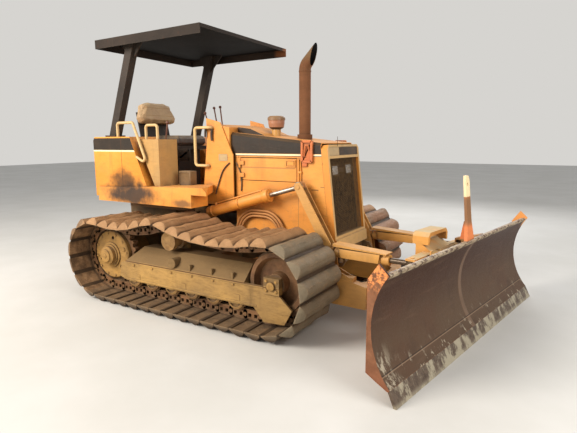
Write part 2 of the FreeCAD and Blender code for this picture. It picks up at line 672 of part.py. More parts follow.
def grille():
    """Mesh of crossed bars in the radiator guard's opening."""
    half = HOOD_HALF_WIDTH - 30
    low = 26.0
    high = GRILLE_HEIGHT - 122
    bars = [box(-28, -22, -half, half, low, low + 12), box(-28, -22, -half, half, high - 12, high),
            box(-28, -22, -half, -half + 12, low, high), box(-28, -22, half - 12, half, low, high)]
    rows = 13
    columns = 11
    for index in range(1, rows):
        z = low + (high - low) * index / rows
        bars.append(box(-28, -22, -half, half, z - 5, z + 5))
    for index in range(1, columns):
        y = -half + 2 * half * index / columns
        bars.append(box(-28, -22, y - 5, y + 5, low, high))
    return leaned(join(bars))


def lamps():
    """Two square lamps behind the mesh."""
    half = HOOD_HALF_WIDTH - 30
    lenses = [leaned(box(-61, -56, -half, half, 590, 630))]
    for y0, y1 in ((-215.0, -70.0), (70.0, 215.0)):
        lenses.append(leaned(box(-56, -34, y0, y1, 560, 660)))
    return join(lenses)


def exhaust():
    """Upright exhaust pipe with a bent end whose open mouth looks forward."""
    foot = point(EXHAUST_X, 0, 1585)
    top = point(EXHAUST_X, 0, EXHAUST_BEND_Z)
    end = top + point(210, 0, 210)
    outer = bent_bar([foot, top, end], 95, EXHAUST_RADIUS)
    inner = bent_bar([foot + point(0, 0, 8), top, end + (end - top) * 0.02], 95, EXHAUST_RADIUS - 6)
    collar = pipe(foot, point(EXHAUST_X, 0, 1640), EXHAUST_COLLAR, EXHAUST_RADIUS - 1)
    middle_z = EXHAUST_BEND_Z + EXHAUST_MOUTH_X - EXHAUST_X
    beyond = box(0, 400, -200, 200, -150, 400)
    beyond = moved(turned(beyond, ORIGIN, Y_AXIS, 14), point(EXHAUST_MOUTH_X, 0, middle_z))
    return join([outer.cut(inner).cut(beyond), collar])


def precleaner():
    """Air intake neck, clear bowl and cap."""
    foot = point(INTAKE_X, 0, 1600)
    bowl = INTAKE_BOWL_RADIUS
    profile = [(0, 0), (0, INTAKE_RADIUS), (95, INTAKE_RADIUS - 4), (100, bowl - 24), (112, bowl - 8), (150, bowl - 1),
               (178, bowl), (182, bowl + 6), (206, bowl + 6), (222, bowl - 12), (226, 0)]
    return spun(profile, foot, foot + Z_AXIS)


def cowl():
    """Side plates beside the operator's feet with the instrument housing between them."""
    floor = FLOOR_TOP_Z
    outline = [(-136, 1804), (39, 1761), (187, 1448), (188, floor), (-209, floor), (-132, 1591)]
    right = side_plate(outline, -376, -364)
    left = side_plate(outline, 364, 376)
    front = HOOD_REAR_X - 0.5
    housing = side_plate([(-60, floor), (-30, 1340), (-80, 1700), (-60, 1745), (front, 1712), (front, floor)],
                         -364, 364)
    pocket = side_plate([(-100, 1370), (-100, 1660), (40, 1640), (40, 1390)], -260, 260)
    foot_room = side_plate([(-100, floor - 5), (-100, 1300), (60, 1290), (90, floor - 5)], -330, 330)
    return join([right, left, housing.cut(pocket).cut(foot_room)])


def platform():
    """Floor plate with a box fender along each side."""
    inner = FENDER_INNER_Y
    wide = UPPER_FRAME_HALF_WIDTH
    floor = box(-1180, -215, -wide, wide, 953.5, FLOOR_TOP_Z)
    front_floor = box(-216, HOOD_REAR_X - 0.5, -inner + 7, inner - 7, 953.5, FLOOR_TOP_Z)
    upper = [(-1375, FENDER_STEP_Z), (150, FENDER_STEP_Z), (150, 1104), (100, 1152), (-60, 1150),
             (-620, 1132), (-1375, 1100)]
    top = side_plate(upper, -PLATFORM_HALF_WIDTH, -inner)
    plan = [(-1376, -PLATFORM_HALF_WIDTH - 1), (150, -PLATFORM_HALF_WIDTH - 1), (-60, -inner + 1), (-1376, -inner + 1)]
    top = top.common(plan_plate(plan, FENDER_STEP_Z - 5, 1200))
    lower = box(-1375, -40, -PLATFORM_HALF_WIDTH, -wide, PLATFORM_BOTTOM_Z, FENDER_STEP_Z + 1)
    inboard = box(-1375, -215, -wide - 1, -inner, PLATFORM_BOTTOM_Z, FENDER_STEP_Z + 1)
    right = join([top, lower, inboard])
    return join([floor, front_floor, right, mirrored(right)])


def rear_body():
    """Fuel tank across the rear with a forward wing on each side of the operator."""
    outline = [(-1440, 1000), (-1440, 1590), (-1415, TANK_TOP_Z), (-870, TANK_TOP_Z), (-650, 1130.8),
               (-1376, 1100), (-1376, 1000)]
    wing = side_plate(outline, -TANK_HALF_WIDTH, -330)
    back = box(-1440, -1240, -331, 331, 980, TANK_TOP_Z - 60)
    return join([wing, mirrored(wing), back])


def seat_base():
    """Pedestal under the seat."""
    pan = box(-1225, -660, -235, 235, 1490, 1530)
    back = seat_back_placed(box(-84, -70 - PIN_FIT, -225, 225, -100, 330))
    post = box(-1060, -720, -170, 170, FLOOR_TOP_Z, 1495)
    return join([pan, post, back])


def cushion(x0, x1, half, z0, z1, edge):
    block = box(x0, x1, -half, half, z0, z1)
    return block.makeFillet(edge, block.Edges)


def seat_back_placed(shape):
    return moved(turned(shape, ORIGIN, Y_AXIS, -12), point(-1160, 0, 1600))


def seat_back():
    """Wide low back pad, narrower at its top."""
    outline = [(-150, 165), (150, 165), (262, 185), (290, 245), (225, 412), (130, 447), (-130, 447), (-225, 412),
               (-290, 245), (-262, 185)]
    block = cross_plate(outline, -70, 50)
    return seat_back_placed(block.makeFillet(30, block.Edges))


def consoles():
    """Arm rest boxes beside the seat, narrow at the foot."""
    outline = [(-790, 1585), (-770, 1600), (-500, 1600), (-500, 1136), (-575, 1136)]
    return both_sides(side_plate(outline, -673, -418))


def controls():
    """Thin levers on the left console and one short lever on the right console."""
    levers = []
    for x, top_x, top_z in ((-760, -839, 1913), (-665, -698, 1966), (-600, -606, 1974)):
        knob = point(top_x, 400 + LEVER_LEAN, top_z)
        levers.append(join([bar(point(x, 480, 1560), knob, LEVER_RADIUS), Part.makeSphere(LEVER_KNOB, knob)]))
    knob = point(-560, -480, 1768)
    levers.append(join([bar(point(-600, -480, 1560), knob, LEVER_RADIUS), Part.makeSphere(LEVER_KNOB, knob)]))
    solids = consoles()
    return Part.makeCompound([lever.cut(solids) for lever in levers])


def handrails():
    """Grab rails of round bar on the right fender and cowl, with the same ones on the left."""
    long_rail = bent_bar([point(-1051, -700, TANK_TOP_Z), point(-1051, -700, 1768), point(-822, -700, 1768),
                          point(-640, -700, 1350), point(-790, -700, 1427)], 30, RAIL_RADIUS)
    long_rail = long_rail.cut(rear_body())
    short_rail = bent_bar([point(-700, -640, 1600), point(-700, -640, 1740), point(-540, -640, 1740),
                           point(-540, -640, 1600)], 30, RAIL_RADIUS)
    cowl_rail = bent_bar([point(-60, -376, 1712), point(-60, -420, 1712), point(-250, -420, 1712),
                          point(-250, -420, 1340), point(-110, -420, 1340), point(-110, -376, 1340)],
                         30, RAIL_RADIUS)
    right = [long_rail, short_rail, cowl_rail]
    return Part.makeCompound(right + [mirrored(rail) for rail in right])


def leaning_post(foot, head, width_x, width_y):
    """Square tube between two points with level ends."""
    wires = []
    for middle in (foot, head):
        corners = [middle + point(dx * width_x / 2, dy * width_y / 2, 0)
                   for dx, dy in ((-1, -1), (1, -1), (1, 1), (-1, 1))]
        wires.append(Part.makePolygon(corners + [corners[0]]))
    return Part.makeLoft(wires, True, True)


def rops_posts():
    """Two leaning posts with foot plates and head gussets."""
    foot = point(POST_FOOT_X, -620, TANK_TOP_Z)
    head = point(POST_HEAD_X, -590, CANOPY_TOP_Z - CANOPY_SHEET)
    post = leaning_post(foot, head, 100, 80)
    plate = box(POST_FOOT_X - 80, POST_FOOT_X + 80, -685, -555, TANK_TOP_Z, TANK_TOP_Z + 16)
    roof = CANOPY_TOP_Z - CANOPY_SHEET
    gusset = side_plate([(POST_HEAD_X - 180, roof), (POST_HEAD_X - 85, roof - 188), (POST_HEAD_X - 10, roof - 188),
                         (POST_HEAD_X + 170, roof)], -600, -588)
    return both_sides(join([post, plate, gusset]))


def canopy():
    """Roof sheet with a deep rim at the sides and rear and a shallow one in front, open below."""
    outer = box(CANOPY_REAR_X, CANOPY_FRONT_X, -CANOPY_HALF_WIDTH, CANOPY_HALF_WIDTH,
                CANOPY_BOTTOM_Z, CANOPY_TOP_Z)
    sheet = CANOPY_SHEET
    inner = box(CANOPY_REAR_X + sheet, CANOPY_FRONT_X - sheet, -CANOPY_HALF_WIDTH + sheet,
                CANOPY_HALF_WIDTH - sheet, CANOPY_BOTTOM_Z - 1, CANOPY_TOP_Z - sheet)
    front = box(CANOPY_FRONT_X - sheet - 1, CANOPY_FRONT_X + 1, -CANOPY_HALF_WIDTH + sheet,
                CANOPY_HALF_WIDTH - sheet, CANOPY_BOTTOM_Z - 1, CANOPY_TOP_Z - CANOPY_FRONT_RIM)
    return outer.cut(inner).cut(front)


def hoses():
    """Three hydraulic hoses in one arch below each lift cylinder."""
    solids = []
    y = -370.0
    for index in range(3):
        shift = HOSE_STEP * index
        solids.append(bent_bar([point(200 + shift, y, 640), point(250 + shift, y, 925 - shift),
                                point(725 - shift, y, 925 - shift), point(770 - shift, y, 640)],
                               215 - shift, HOSE_RADIUS))
    frame = hull()
    solids = [solid.cut(frame) for solid in solids]
    return Part.makeCompound(solids + [mirrored(solid) for solid in solids])


# Cylinders: built along X from the base pin at the origin, then turned and moved into place

def barrel(length, radius, rod_radius, eye_axis, eye_half, pin_radius, eye_radius):
    """Cylinder body with a base eye, end caps and the bore its rod slides in."""
    start = eye_radius + 16
    body = bar(point(start, 0, 0), point(length, 0, 0), radius - 4)
    head = bar(point(length - 60, 0, 0), point(length, 0, 0), radius)
    foot = bar(point(start, 0, 0), point(start + 40, 0, 0), radius)
    neck = bar(point(eye_radius - 6, 0, 0), point(start + 5, 0, 0), eye_half - 2)
    eye = bar(eye_axis * -eye_half, eye_axis * eye_half, eye_radius)
    whole = join([body, head, foot, neck, eye])
    bore = bar(point(start + 8, 0, 0), point(length + 1, 0, 0), rod_radius + PIN_FIT)
    hole = bar(eye_axis * (-radius - 10), eye_axis * (radius + 10), pin_radius + PIN_FIT)
    return whole.cut(bore).cut(hole)


def piston_rod(reach, length, rod_radius, eye_axis, eye_half, hole_radius, eye_radius):
    """Rod that ends in an eye at a reach from the base pin."""
    rod = bar(point(reach - length, 0, 0), point(reach - eye_radius + 6, 0, 0), rod_radius)
    eye = bar(point(reach, 0, 0) - eye_axis * eye_half, point(reach, 0, 0) + eye_axis * eye_half, eye_radius)
    hole = bar(point(reach, 0, 0) - eye_axis * (eye_half + 5), point(reach, 0, 0) + eye_axis * (eye_half + 5),
               hole_radius)
    return join([rod, eye]).cut(hole)


def lift_placed(shape, side):
    slope = degrees(atan2(LIFT_EYE[1] - LIFT_BASE[1], LIFT_EYE[0] - LIFT_BASE[0]))
    return moved(turned(shape, ORIGIN, Y_AXIS, -slope),
                 point(LIFT_BASE[0], side * ARM_MIDDLE_Y, LIFT_BASE[1]))


def lift_cylinders():
    inner = ARM_HALF_WIDTH - ARM_PLATE - 1
    one = barrel(LIFT_BARREL, LIFT_BARREL_RADIUS, LIFT_ROD_RADIUS, Y_AXIS, inner, PIN_RADIUS, 40)
    return Part.makeCompound([lift_placed(one, -1), lift_placed(one, 1)])


def lift_rods():
    inner = ARM_HALF_WIDTH - ARM_PLATE - 1
    reach = hypot(LIFT_EYE[0] - LIFT_BASE[0], LIFT_EYE[1] - LIFT_BASE[1])
    one = piston_rod(reach, LIFT_ROD_LENGTH, LIFT_ROD_RADIUS, Y_AXIS, inner, PIN_RADIUS + EYE_DRIFT, 46)
    return Part.makeCompound([lift_placed(one, -1), lift_placed(one, 1)])


def from_blade(n, t, z):
    """Give the world point at n ahead of the angle pivot and t to its left, along the blade."""
    angle = radians(BLADE_ANGLE)
    return point(ANGLE_PIVOT_X + n * cos(angle) - t * sin(angle), n * sin(angle) + t * cos(angle), z)


def to_world(shape):
    """Turn a shape built about the angle pivot, with n on X and t on Y, to the blade's angle."""
    return moved(turned(shape, ORIGIN, Z_AXIS, BLADE_ANGLE), point(ANGLE_PIVOT_X, 0, 0))


def angle_line(side):
    """Give the base point, length and bearing of one angle cylinder."""
    base = point(ANGLE_BASE_X, side * ANGLE_BASE_Y, ANGLE_Z)
    eye = from_blade(ANGLE_EYE_N, side * ANGLE_EYE_T, ANGLE_Z)
    span = eye - base
    return base, span.Length, degrees(atan2(span.y, span.x))


def angle_cylinder(side):
    base, reach, turn = angle_line(side)
    body = barrel(ANGLE_BARREL, ANGLE_BARREL_RADIUS, ANGLE_ROD_RADIUS, Z_AXIS, 24, PIN_RADIUS, 27)
    half = ANGLE_BARREL_RADIUS
    start, end = 36.0, ANGLE_BARREL - 10
    rear, front = half + 38.0, half + 12.0
    wide = GUARD_HALF_WIDTH
    roof = side_plate([(start, rear - 6), (start, rear), (end, front), (end, front - 6)], -wide, wide)
    fold = [(start, rear - 24), (start, rear), (end, front), (end, front - 8)]
    folds = [side_plate(fold, -wide, -wide + 5), side_plate(fold, wide - 5, wide)]
    rib = box(80, 95, -half - 1, half + 1, half - 14, rear - 6)
    rib_front = box(end - 30, end - 15, -half - 1, half + 1, half - 14, front - 2)
    bore = bar(point(60, 0, 0), point(ANGLE_BARREL + 20, 0, 0), ANGLE_ROD_RADIUS + PIN_FIT)
    whole = join([body, roof, rib, rib_front] + folds).cut(bore)
    return moved(turned(whole, ORIGIN, Z_AXIS, turn), base)


def angle_rod(side):
    base, reach, turn = angle_line(side)
    rod = piston_rod(reach, ANGLE_ROD_LENGTH, ANGLE_ROD_RADIUS, Z_AXIS, 24,
                     ANGLE_PIN_RADIUS + ANGLE_EYE_DRIFT, 46)
    return moved(turned(rod, ORIGIN, Z_AXIS, turn), base)


def tilt_placed(shape):
    placed = turned(shape, ORIGIN, Z_AXIS, 90)
    return to_world(moved(placed, point(TILT_N, TILT_BASE_T, TILT_Z)))


def tilt_cylinder():
    return tilt_placed(barrel(TILT_BARREL, TILT_BARREL_RADIUS, TILT_ROD_RADIUS, Y_AXIS, 20, PIN_RADIUS, 36))


def tilt_rod():
    reach = TILT_EYE_T - TILT_BASE_T
    return tilt_placed(piston_rod(reach, TILT_ROD_LENGTH, TILT_ROD_RADIUS, Y_AXIS, 20, PIN_RADIUS + 3, 38))


def c_frame():
    """Push arms, uprights to the lift rods, front crossing and the nose of the angle pivot."""
    outer_y = ARM_MIDDLE_Y + ARM_HALF_WIDTH
    inner_y = ARM_MIDDLE_Y - ARM_HALF_WIDTH
    arm = side_plate([(430, 350), (430, 450), (470, 478), (1300, 446), (1620, 375), (1620, 182),
                      (1200, 190), (760, 270), (480, 322)], -outer_y, -inner_y)
    eye = bar(point(LIFT_PIVOT[0], -outer_y - 1, LIFT_PIVOT[1]), point(LIFT_PIVOT[0], -inner_y + 1, LIFT_PIVOT[1]),
              PIVOT_PIN_RADIUS + PIN_FIT)
    arm = arm.cut(eye)
    lean = (LIFT_EYE[0] - 1247.0) / (LIFT_EYE[1] - 708.0)
    wide = 36.0
    upright = [(1321, 430), (1236, 600), (1195, 708), (LIFT_EYE[0] - wide, LIFT_EYE[1] - 10),
               (LIFT_EYE[0] - wide + 8, LIFT_EYE[1] + 30), (LIFT_EYE[0] + 16, LIFT_EYE[1] + 44),
               (LIFT_EYE[0] + wide + 4, LIFT_EYE[1] + 12), (1289, 712), (1316, 600), (1330, 500),
               (1501, 425)]
    solids = [arm]
    for y in (inner_y, outer_y - ARM_PLATE):
        solids.append(side_plate(upright, -y - ARM_PLATE, -y))
    solids.append(bar(point(LIFT_EYE[0], -outer_y - 6, LIFT_EYE[1]), point(LIFT_EYE[0], -inner_y + 6, LIFT_EYE[1]),
                      PIN_RADIUS))
    web_low = 1247.0 + (770.0 - 708.0) * lean
    web_high = LIFT_EYE[0] + (LIFT_EYE[1] - 95.0 - LIFT_EYE[1]) * lean
    solids.append(side_plate([(web_low - 8, 770), (web_high - 8, LIFT_EYE[1] - 95), (web_high + 8, LIFT_EYE[1] - 95),
                              (web_low + 8, 770)], -outer_y + 2, -inner_y - 2))
    for z0, z1 in ((ANGLE_Z - 44, ANGLE_Z - 26), (ANGLE_Z + 26, ANGLE_Z + 44)):
        solids.append(box(ANGLE_BASE_X - 50, ANGLE_BASE_X + 24, -outer_y + 2, -inner_y - 2, z0, z1))
    solids.append(bar(point(ANGLE_BASE_X, -ANGLE_BASE_Y, ANGLE_Z - 50), point(ANGLE_BASE_X, -ANGLE_BASE_Y, ANGLE_Z + 50),
                      PIN_RADIUS))
    foot_block = box(1300, 1500, -outer_y + 2, -inner_y - 2, 380, 440)
    solids.append(foot_block)
    right = join(solids)
    nose = plan_plate([(1380, -outer_y), (1600, -outer_y), (1712, -300), (1790, -74), (1856, -40),
                       (1856, 40), (1790, 74), (1712, 300), (1600, outer_y), (1380, outer_y),
                       (1380, inner_y), (1500, inner_y), (1590, 240), (1610, 0), (1590, -240),
                       (1500, -inner_y), (1380, -inner_y)], 264, 376)
    boss = bar(point(ANGLE_PIVOT_X, 0, 262), point(ANGLE_PIVOT_X, 0, 398), 76)
    whole = join([right, mirrored(right), nose, boss])
    pin = bar(point(ANGLE_PIVOT_X, 0, 200), point(ANGLE_PIVOT_X, 0, 460), PIVOT_PIN_RADIUS + PIN_FIT)
    return whole.cut(pin)


def yoke():
    """Swivelling yoke between the push frame and the blade, with the cross beam for its cylinders."""
    solids = [bar(point(0, 0, 206), point(0, 0, 458), PIVOT_PIN_RADIUS)]
    for z0, z1 in ((212.0, 256.0), (404.0, 448.0)):
        solids.append(bar(point(0, 0, z0), point(0, 0, z1), 76))
        solids.append(plan_plate([(0, -76), (140, -80), (140, 80), (0, 76)], z0, z1))
    front = ANGLE_EYE_N + 52
    post = side_plate([(104, 212), (front, 225), (front, 596), (front - 7, 645), (190, 645), (104, 446)], -78, 78)
    solids.append(post)
    solids.append(bar(point(front - 12, 0, TRUNNION_Z), point(BLADE_REACH - 200, 0, TRUNNION_Z), TRUNNION_RADIUS))
    beam_end = ANGLE_EYE_T - 58
    half = BEAM_HALF
    solids.append(box(ANGLE_EYE_N - half, ANGLE_EYE_N + half, -beam_end, beam_end, ANGLE_Z - half, ANGLE_Z + half))
    ear_end = ANGLE_EYE_T + 44
    for z0, z1 in ((ANGLE_Z - half, ANGLE_Z - 27), (ANGLE_Z + 27, ANGLE_Z + half)):
        solids.append(box(ANGLE_EYE_N - 38, ANGLE_EYE_N + half, -ear_end, ear_end, z0, z1))
    for side in (-1, 1):
        solids.append(bar(point(ANGLE_EYE_N, side * ANGLE_EYE_T, ANGLE_Z - 48),
                          point(ANGLE_EYE_N, side * ANGLE_EYE_T, ANGLE_Z + 48), ANGLE_PIN_RADIUS))
    solids.append(yoke_cover())
    low = TILT_Z - 62
    for n in (TILT_N - 33, TILT_N + 22):
        solids.append(cross_plate([(TILT_BASE_T - 40, low), (TILT_BASE_T - 30, TILT_Z + 30),
                                   (TILT_BASE_T + 30, TILT_Z + 30), (TILT_BASE_T + 42, low)], n, n + 11))
    solids.append(box(ANGLE_EYE_N + half - 2, TILT_N + 33, TILT_BASE_T - 40, TILT_BASE_T + 42, low, low + 12))
    solids.append(bar(point(TILT_N - 38, TILT_BASE_T, TILT_Z), point(TILT_N + 38, TILT_BASE_T, TILT_Z), PIN_RADIUS))
    return to_world(join(solids))


def yoke_cover():
    """Sloping cover on the cross beam and the arched strap over its top."""
    rear = ANGLE_EYE_N - 110
    front = ANGLE_EYE_N + 49
    half = COVER_HALF_WIDTH
    wedge = side_plate([(rear, ANGLE_Z), (rear, 752), (rear + 32, 752), (front, 674), (front, ANGLE_Z)], -half, half)
    sheet = COVER_SHEET
    top = COVER_TOP_Z
    arch = [(-half, 738), (-half, top - 34), (-half + 34, top), (half - 34, top), (half, top - 34), (half, 738),
            (half - sheet, 738), (half - sheet, top - sheet - 12), (half - sheet - 12, top - sheet),
            (-half + sheet + 12, top - sheet), (-half + sheet, top - sheet - 12), (-half + sheet, 738)]
    return join([wedge, cross_plate(arch, rear - 30, rear + 110)])


def skin_back():
    """Corners of the moldboard's back face behind those of its front arc."""
    corners = [point(n, 0, z) for n, z in BLADE_ARC]
    centre = Part.Arc(*corners).toShape().Curve.Center
    return [corner + (corner - centre).normalize() * BLADE_SKIN for corner in corners]


def blade():
    """Curved moldboard with end plates, back beams, ribs, trunnion socket and tilt ears."""
    low, middle, high = [point(n, 0, z) for n, z in BLADE_ARC]
    half = BLADE_LENGTH / 2
    arc = Part.Arc(low, middle, high)
    back_points = skin_back()
    back = Part.Arc(*back_points)
    skin_wire = Part.Wire([arc.toShape(), Part.makeLine(high, back_points[2]),
                           back.toShape(), Part.makeLine(back_points[0], low)])
    skin = Part.Face(skin_wire).extrude(point(0, BLADE_LENGTH, 0))
    skin.translate(point(0, -half, 0))
    void_wire = Part.Wire([arc.toShape(), Part.makeLine(high, point(300, 0, 800)),
                           Part.makeLine(point(300, 0, 800), point(300, 0, 100)),
                           Part.makeLine(point(300, 0, 100), low)])
    void = Part.Face(void_wire).extrude(point(0, BLADE_LENGTH + 20, 0))
    void.translate(point(0, -half - 10, 0))
    plate_outline = [(-50, 100), (-68, 92), (-150, 130), (BLADE_BACK_N, 165), (BLADE_BACK_N, 762),
                     (-145, 868), (-78, 806), (-40, 700), (-40, 200)]
    solids = [skin]
    for y0 in (-half, half - END_PLATE):
        solids.append(side_plate(plate_outline, y0, y0 + END_PLATE))
    lower = [(-60, 128), (-150, 150), (BLADE_BACK_N + 12, 190), (BLADE_BACK_N + 12, 400), (-150, 430), (-90, 430)]
    upper = [(-90, 610), (BLADE_BACK_N + 12, 640), (BLADE_BACK_N + 12, 730), (-120, 806), (-90, 806)]
    solids.append(side_plate(lower, -half + 5, half - 5))
    solids.append(side_plate(upper, -half + 5, half - 5))
    rib = [(-60, 200), (BLADE_BACK_N + 12, 250), (BLADE_BACK_N + 12, 700), (-60, 760)]
    for t in (-950.0, -420.0, 400.0, 930.0):
        solids.append(side_plate(rib, t, t + 20))
    solids.append(bar(point(BLADE_BACK_N - 96, 0, TRUNNION_Z), point(-120, 0, TRUNNION_Z), TRUNNION_RADIUS + 36))
    ear_n = TILT_N - BLADE_REACH
    for n in (ear_n - 33, ear_n + 22):
        solids.append(cross_plate([(TILT_EYE_T - 42, TILT_Z + 48), (TILT_EYE_T + 42, TILT_Z + 48),
                                   (TILT_EYE_T + 42, TILT_Z - 30), (TILT_EYE_T - 42, TILT_Z - 30)], n, n + 11))
    solids.append(bar(point(ear_n - 38, TILT_EYE_T, TILT_Z), point(ear_n + 38, TILT_EYE_T, TILT_Z), PIN_RADIUS))
    shelf = side_plate([(ear_n - 33, TILT_Z + 47), (ear_n - 33, TILT_Z + 60), (-130, 806), (-130, 700)],
                       TILT_EYE_T - 42, TILT_EYE_T + 42)
    shelf = shelf.cut(box(ear_n - 22, ear_n + 22, TILT_EYE_T - 60, TILT_EYE_T + 60, TILT_Z - 60, TILT_Z + 46))
    shelf = shelf.cut(box(ear_n - 40, ear_n + 60, TILT_EYE_T - 60, TILT_EYE_T + 60, 600, TILT_Z - 30))
    solids.append(shelf)
    whole = join(solids).cut(void)
    socket = bar(point(BLADE_BACK_N - 100, 0, TRUNNION_Z), point(-190, 0, TRUNNION_Z), TRUNNION_RADIUS + PIN_FIT)
    return to_world(moved(whole.cut(socket), point(BLADE_REACH, 0, 0)))


def cutting_edge():
    """Bolted edge along the blade's foot in four lengths."""
    half = BLADE_LENGTH / 2
    foot = skin_back()[0]
    outline = [(0, 0), BLADE_ARC[0], (foot.x, foot.z), (-22, 0)]
    cuts = (-half, -half + 420, 0, half - 420, half)
    lengths = []
    for start, end in zip(cuts, cuts[1:]):
        lengths.append(side_plate(outline, start + 1.5, end - 1.5))
    return to_world(moved(Part.makeCompound(lengths), point(BLADE_REACH, 0, 0)))


def marker_post():
    """Sighting bar that leans to the middle from its foot on the blade's top."""
    side = [(-100, 806), (-128, 806), (-204, 1303), (-186, 1303)]
    face = [(-145, 800), (-93, 950), (-40, 1270), (-26, 1303), (26, 1303), (40, 1270), (-13, 950), (-5, 800)]
    mast = side_plate(side, -160, 60).common(cross_plate(face, -300, -50))
    gusset = side_plate([(-100, 806), (-185, 806), (-160, 950), (-146, 950)], -81, -69)
    hole = bar(point(-260, -10, 1235), point(-120, -10, 1235), 13)
    return to_world(moved(join([mast.cut(hole), gusset]), point(BLADE_REACH, 0, 0)))


def nodes():
    right_track = moved(track(), point(0, -TRACK_Y, 0))
    return {
        "main_frame": hull(),
        "track_frames": both_sides(track_frame()),
        "track_right": right_track,
        "track_left": mirrored(right_track),
        "sprockets": both_sides(sprocket()),
        "final_drives": both_sides(final_drive()),
        "idlers": both_sides(idler()),
        "rollers": rollers(),
        "engine": box(260, 950, -220, 220, PANEL_BOTTOM_Z, 1330),
        "radiator": box(1010, 1085, -290, 290, PANEL_BOTTOM_Z, 1430),
        "hood": hood(),
        "side_panels": both_sides(side_panel()),
        "radiator_guard": radiator_guard(),
        "grille": grille(),
        "lamps": lamps(),
        "exhaust": exhaust(),
        "precleaner": precleaner(),
        "cowl": cowl(),
        "platform": platform(),
        "rear_body": rear_body(),
        "seat_base": seat_base(),
        "seat_cushion": cushion(-1110, -640, 250, 1530, 1640, 36),
        "seat_back": seat_back(),
        "consoles": consoles(),
        "controls": controls(),
        "handrails": handrails(),
        "rops_posts": rops_posts(),
        "canopy": canopy(),
        "hoses": hoses(),
        "door_right": door(),
        "door_left": mirrored(door()),
        "c_frame": c_frame(),
        "yoke": yoke(),
        "blade": blade(),
        "cutting_edge": cutting_edge(),
        "marker_post": marker_post(),
        "lift_cylinders": lift_cylinders(),
        "lift_rods": lift_rods(),
        "angle_cylinder_right": angle_cylinder(-1),
        "angle_rod_right": angle_rod(-1),
        "angle_cylinder_left": angle_cylinder(1),
        "angle_rod_left": angle_rod(1),
        "tilt_cylinder": tilt_cylinder(),
        "tilt_rod": tilt_rod(),
    }


def main():
    os.makedirs("parts", exist_ok=True)
    for name, shape in nodes().items():
        shape.exportStep("parts/" + name + ".step")


main()
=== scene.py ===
"""Dress a crawler bulldozer's solids with worn paint, dust, rust and its fine pieces."""

import logging
import math
import random
from dataclasses import dataclass, field, replace
from enum import Enum
from typing import Callable, Iterable, Sequence

import bpy
from mathutils import Matrix, Vector


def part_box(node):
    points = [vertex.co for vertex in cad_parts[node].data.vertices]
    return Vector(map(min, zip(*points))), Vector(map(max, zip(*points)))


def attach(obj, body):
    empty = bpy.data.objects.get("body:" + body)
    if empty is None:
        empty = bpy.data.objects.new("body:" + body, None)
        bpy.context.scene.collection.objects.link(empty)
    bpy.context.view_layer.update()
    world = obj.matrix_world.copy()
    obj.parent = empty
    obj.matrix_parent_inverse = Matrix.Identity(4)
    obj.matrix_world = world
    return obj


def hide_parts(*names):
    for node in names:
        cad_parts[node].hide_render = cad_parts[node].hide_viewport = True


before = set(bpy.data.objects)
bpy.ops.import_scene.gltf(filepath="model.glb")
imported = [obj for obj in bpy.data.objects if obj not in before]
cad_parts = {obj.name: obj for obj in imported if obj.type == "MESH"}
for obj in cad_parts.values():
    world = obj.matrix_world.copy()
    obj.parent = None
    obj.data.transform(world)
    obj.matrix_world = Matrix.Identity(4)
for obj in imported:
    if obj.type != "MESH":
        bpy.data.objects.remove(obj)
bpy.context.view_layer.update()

log = logging.getLogger("bulldozer")

Colour = tuple[int, int, int]  # red, green and blue from 0 to 255, as seen on a screen
Socket = bpy.types.NodeSocket
Piece = bpy.types.Object

MIRROR = Matrix.Scale(-1, 4, (0, 1, 0))  # takes a piece to the machine's other side
FAR = 9.0  # beyond the machine's ends, for bands that run its whole length
FACING = 0.9  # how nearly a face or an edge points along an axis to be picked by it


def linear(colour: Colour) -> tuple[float, ...]:
    """Turn a colour as seen on a screen into the linear one that a shader takes.

    Args:
        colour: red, green and blue from 0 to 255.

    Returns:
        The linear colour, from 0 to 1.
    """
    shares = (value / 255 for value in colour)
    return tuple(s / 12.92 if s <= 0.04045 else ((s + 0.055) / 1.055) ** 2.4 for s in shares)


class Body(Enum):
    """The moving bodies that pieces ride on."""

    MACHINE = "machine"
    YOKE = "yoke"
    LIFT_CYLINDERS = "lift_cylinders"
    DOOR_RIGHT = "door_right"
    DOOR_LEFT = "door_left"
    ANGLE_RIGHT = "angle_cylinder_right"
    ANGLE_LEFT = "angle_cylinder_left"


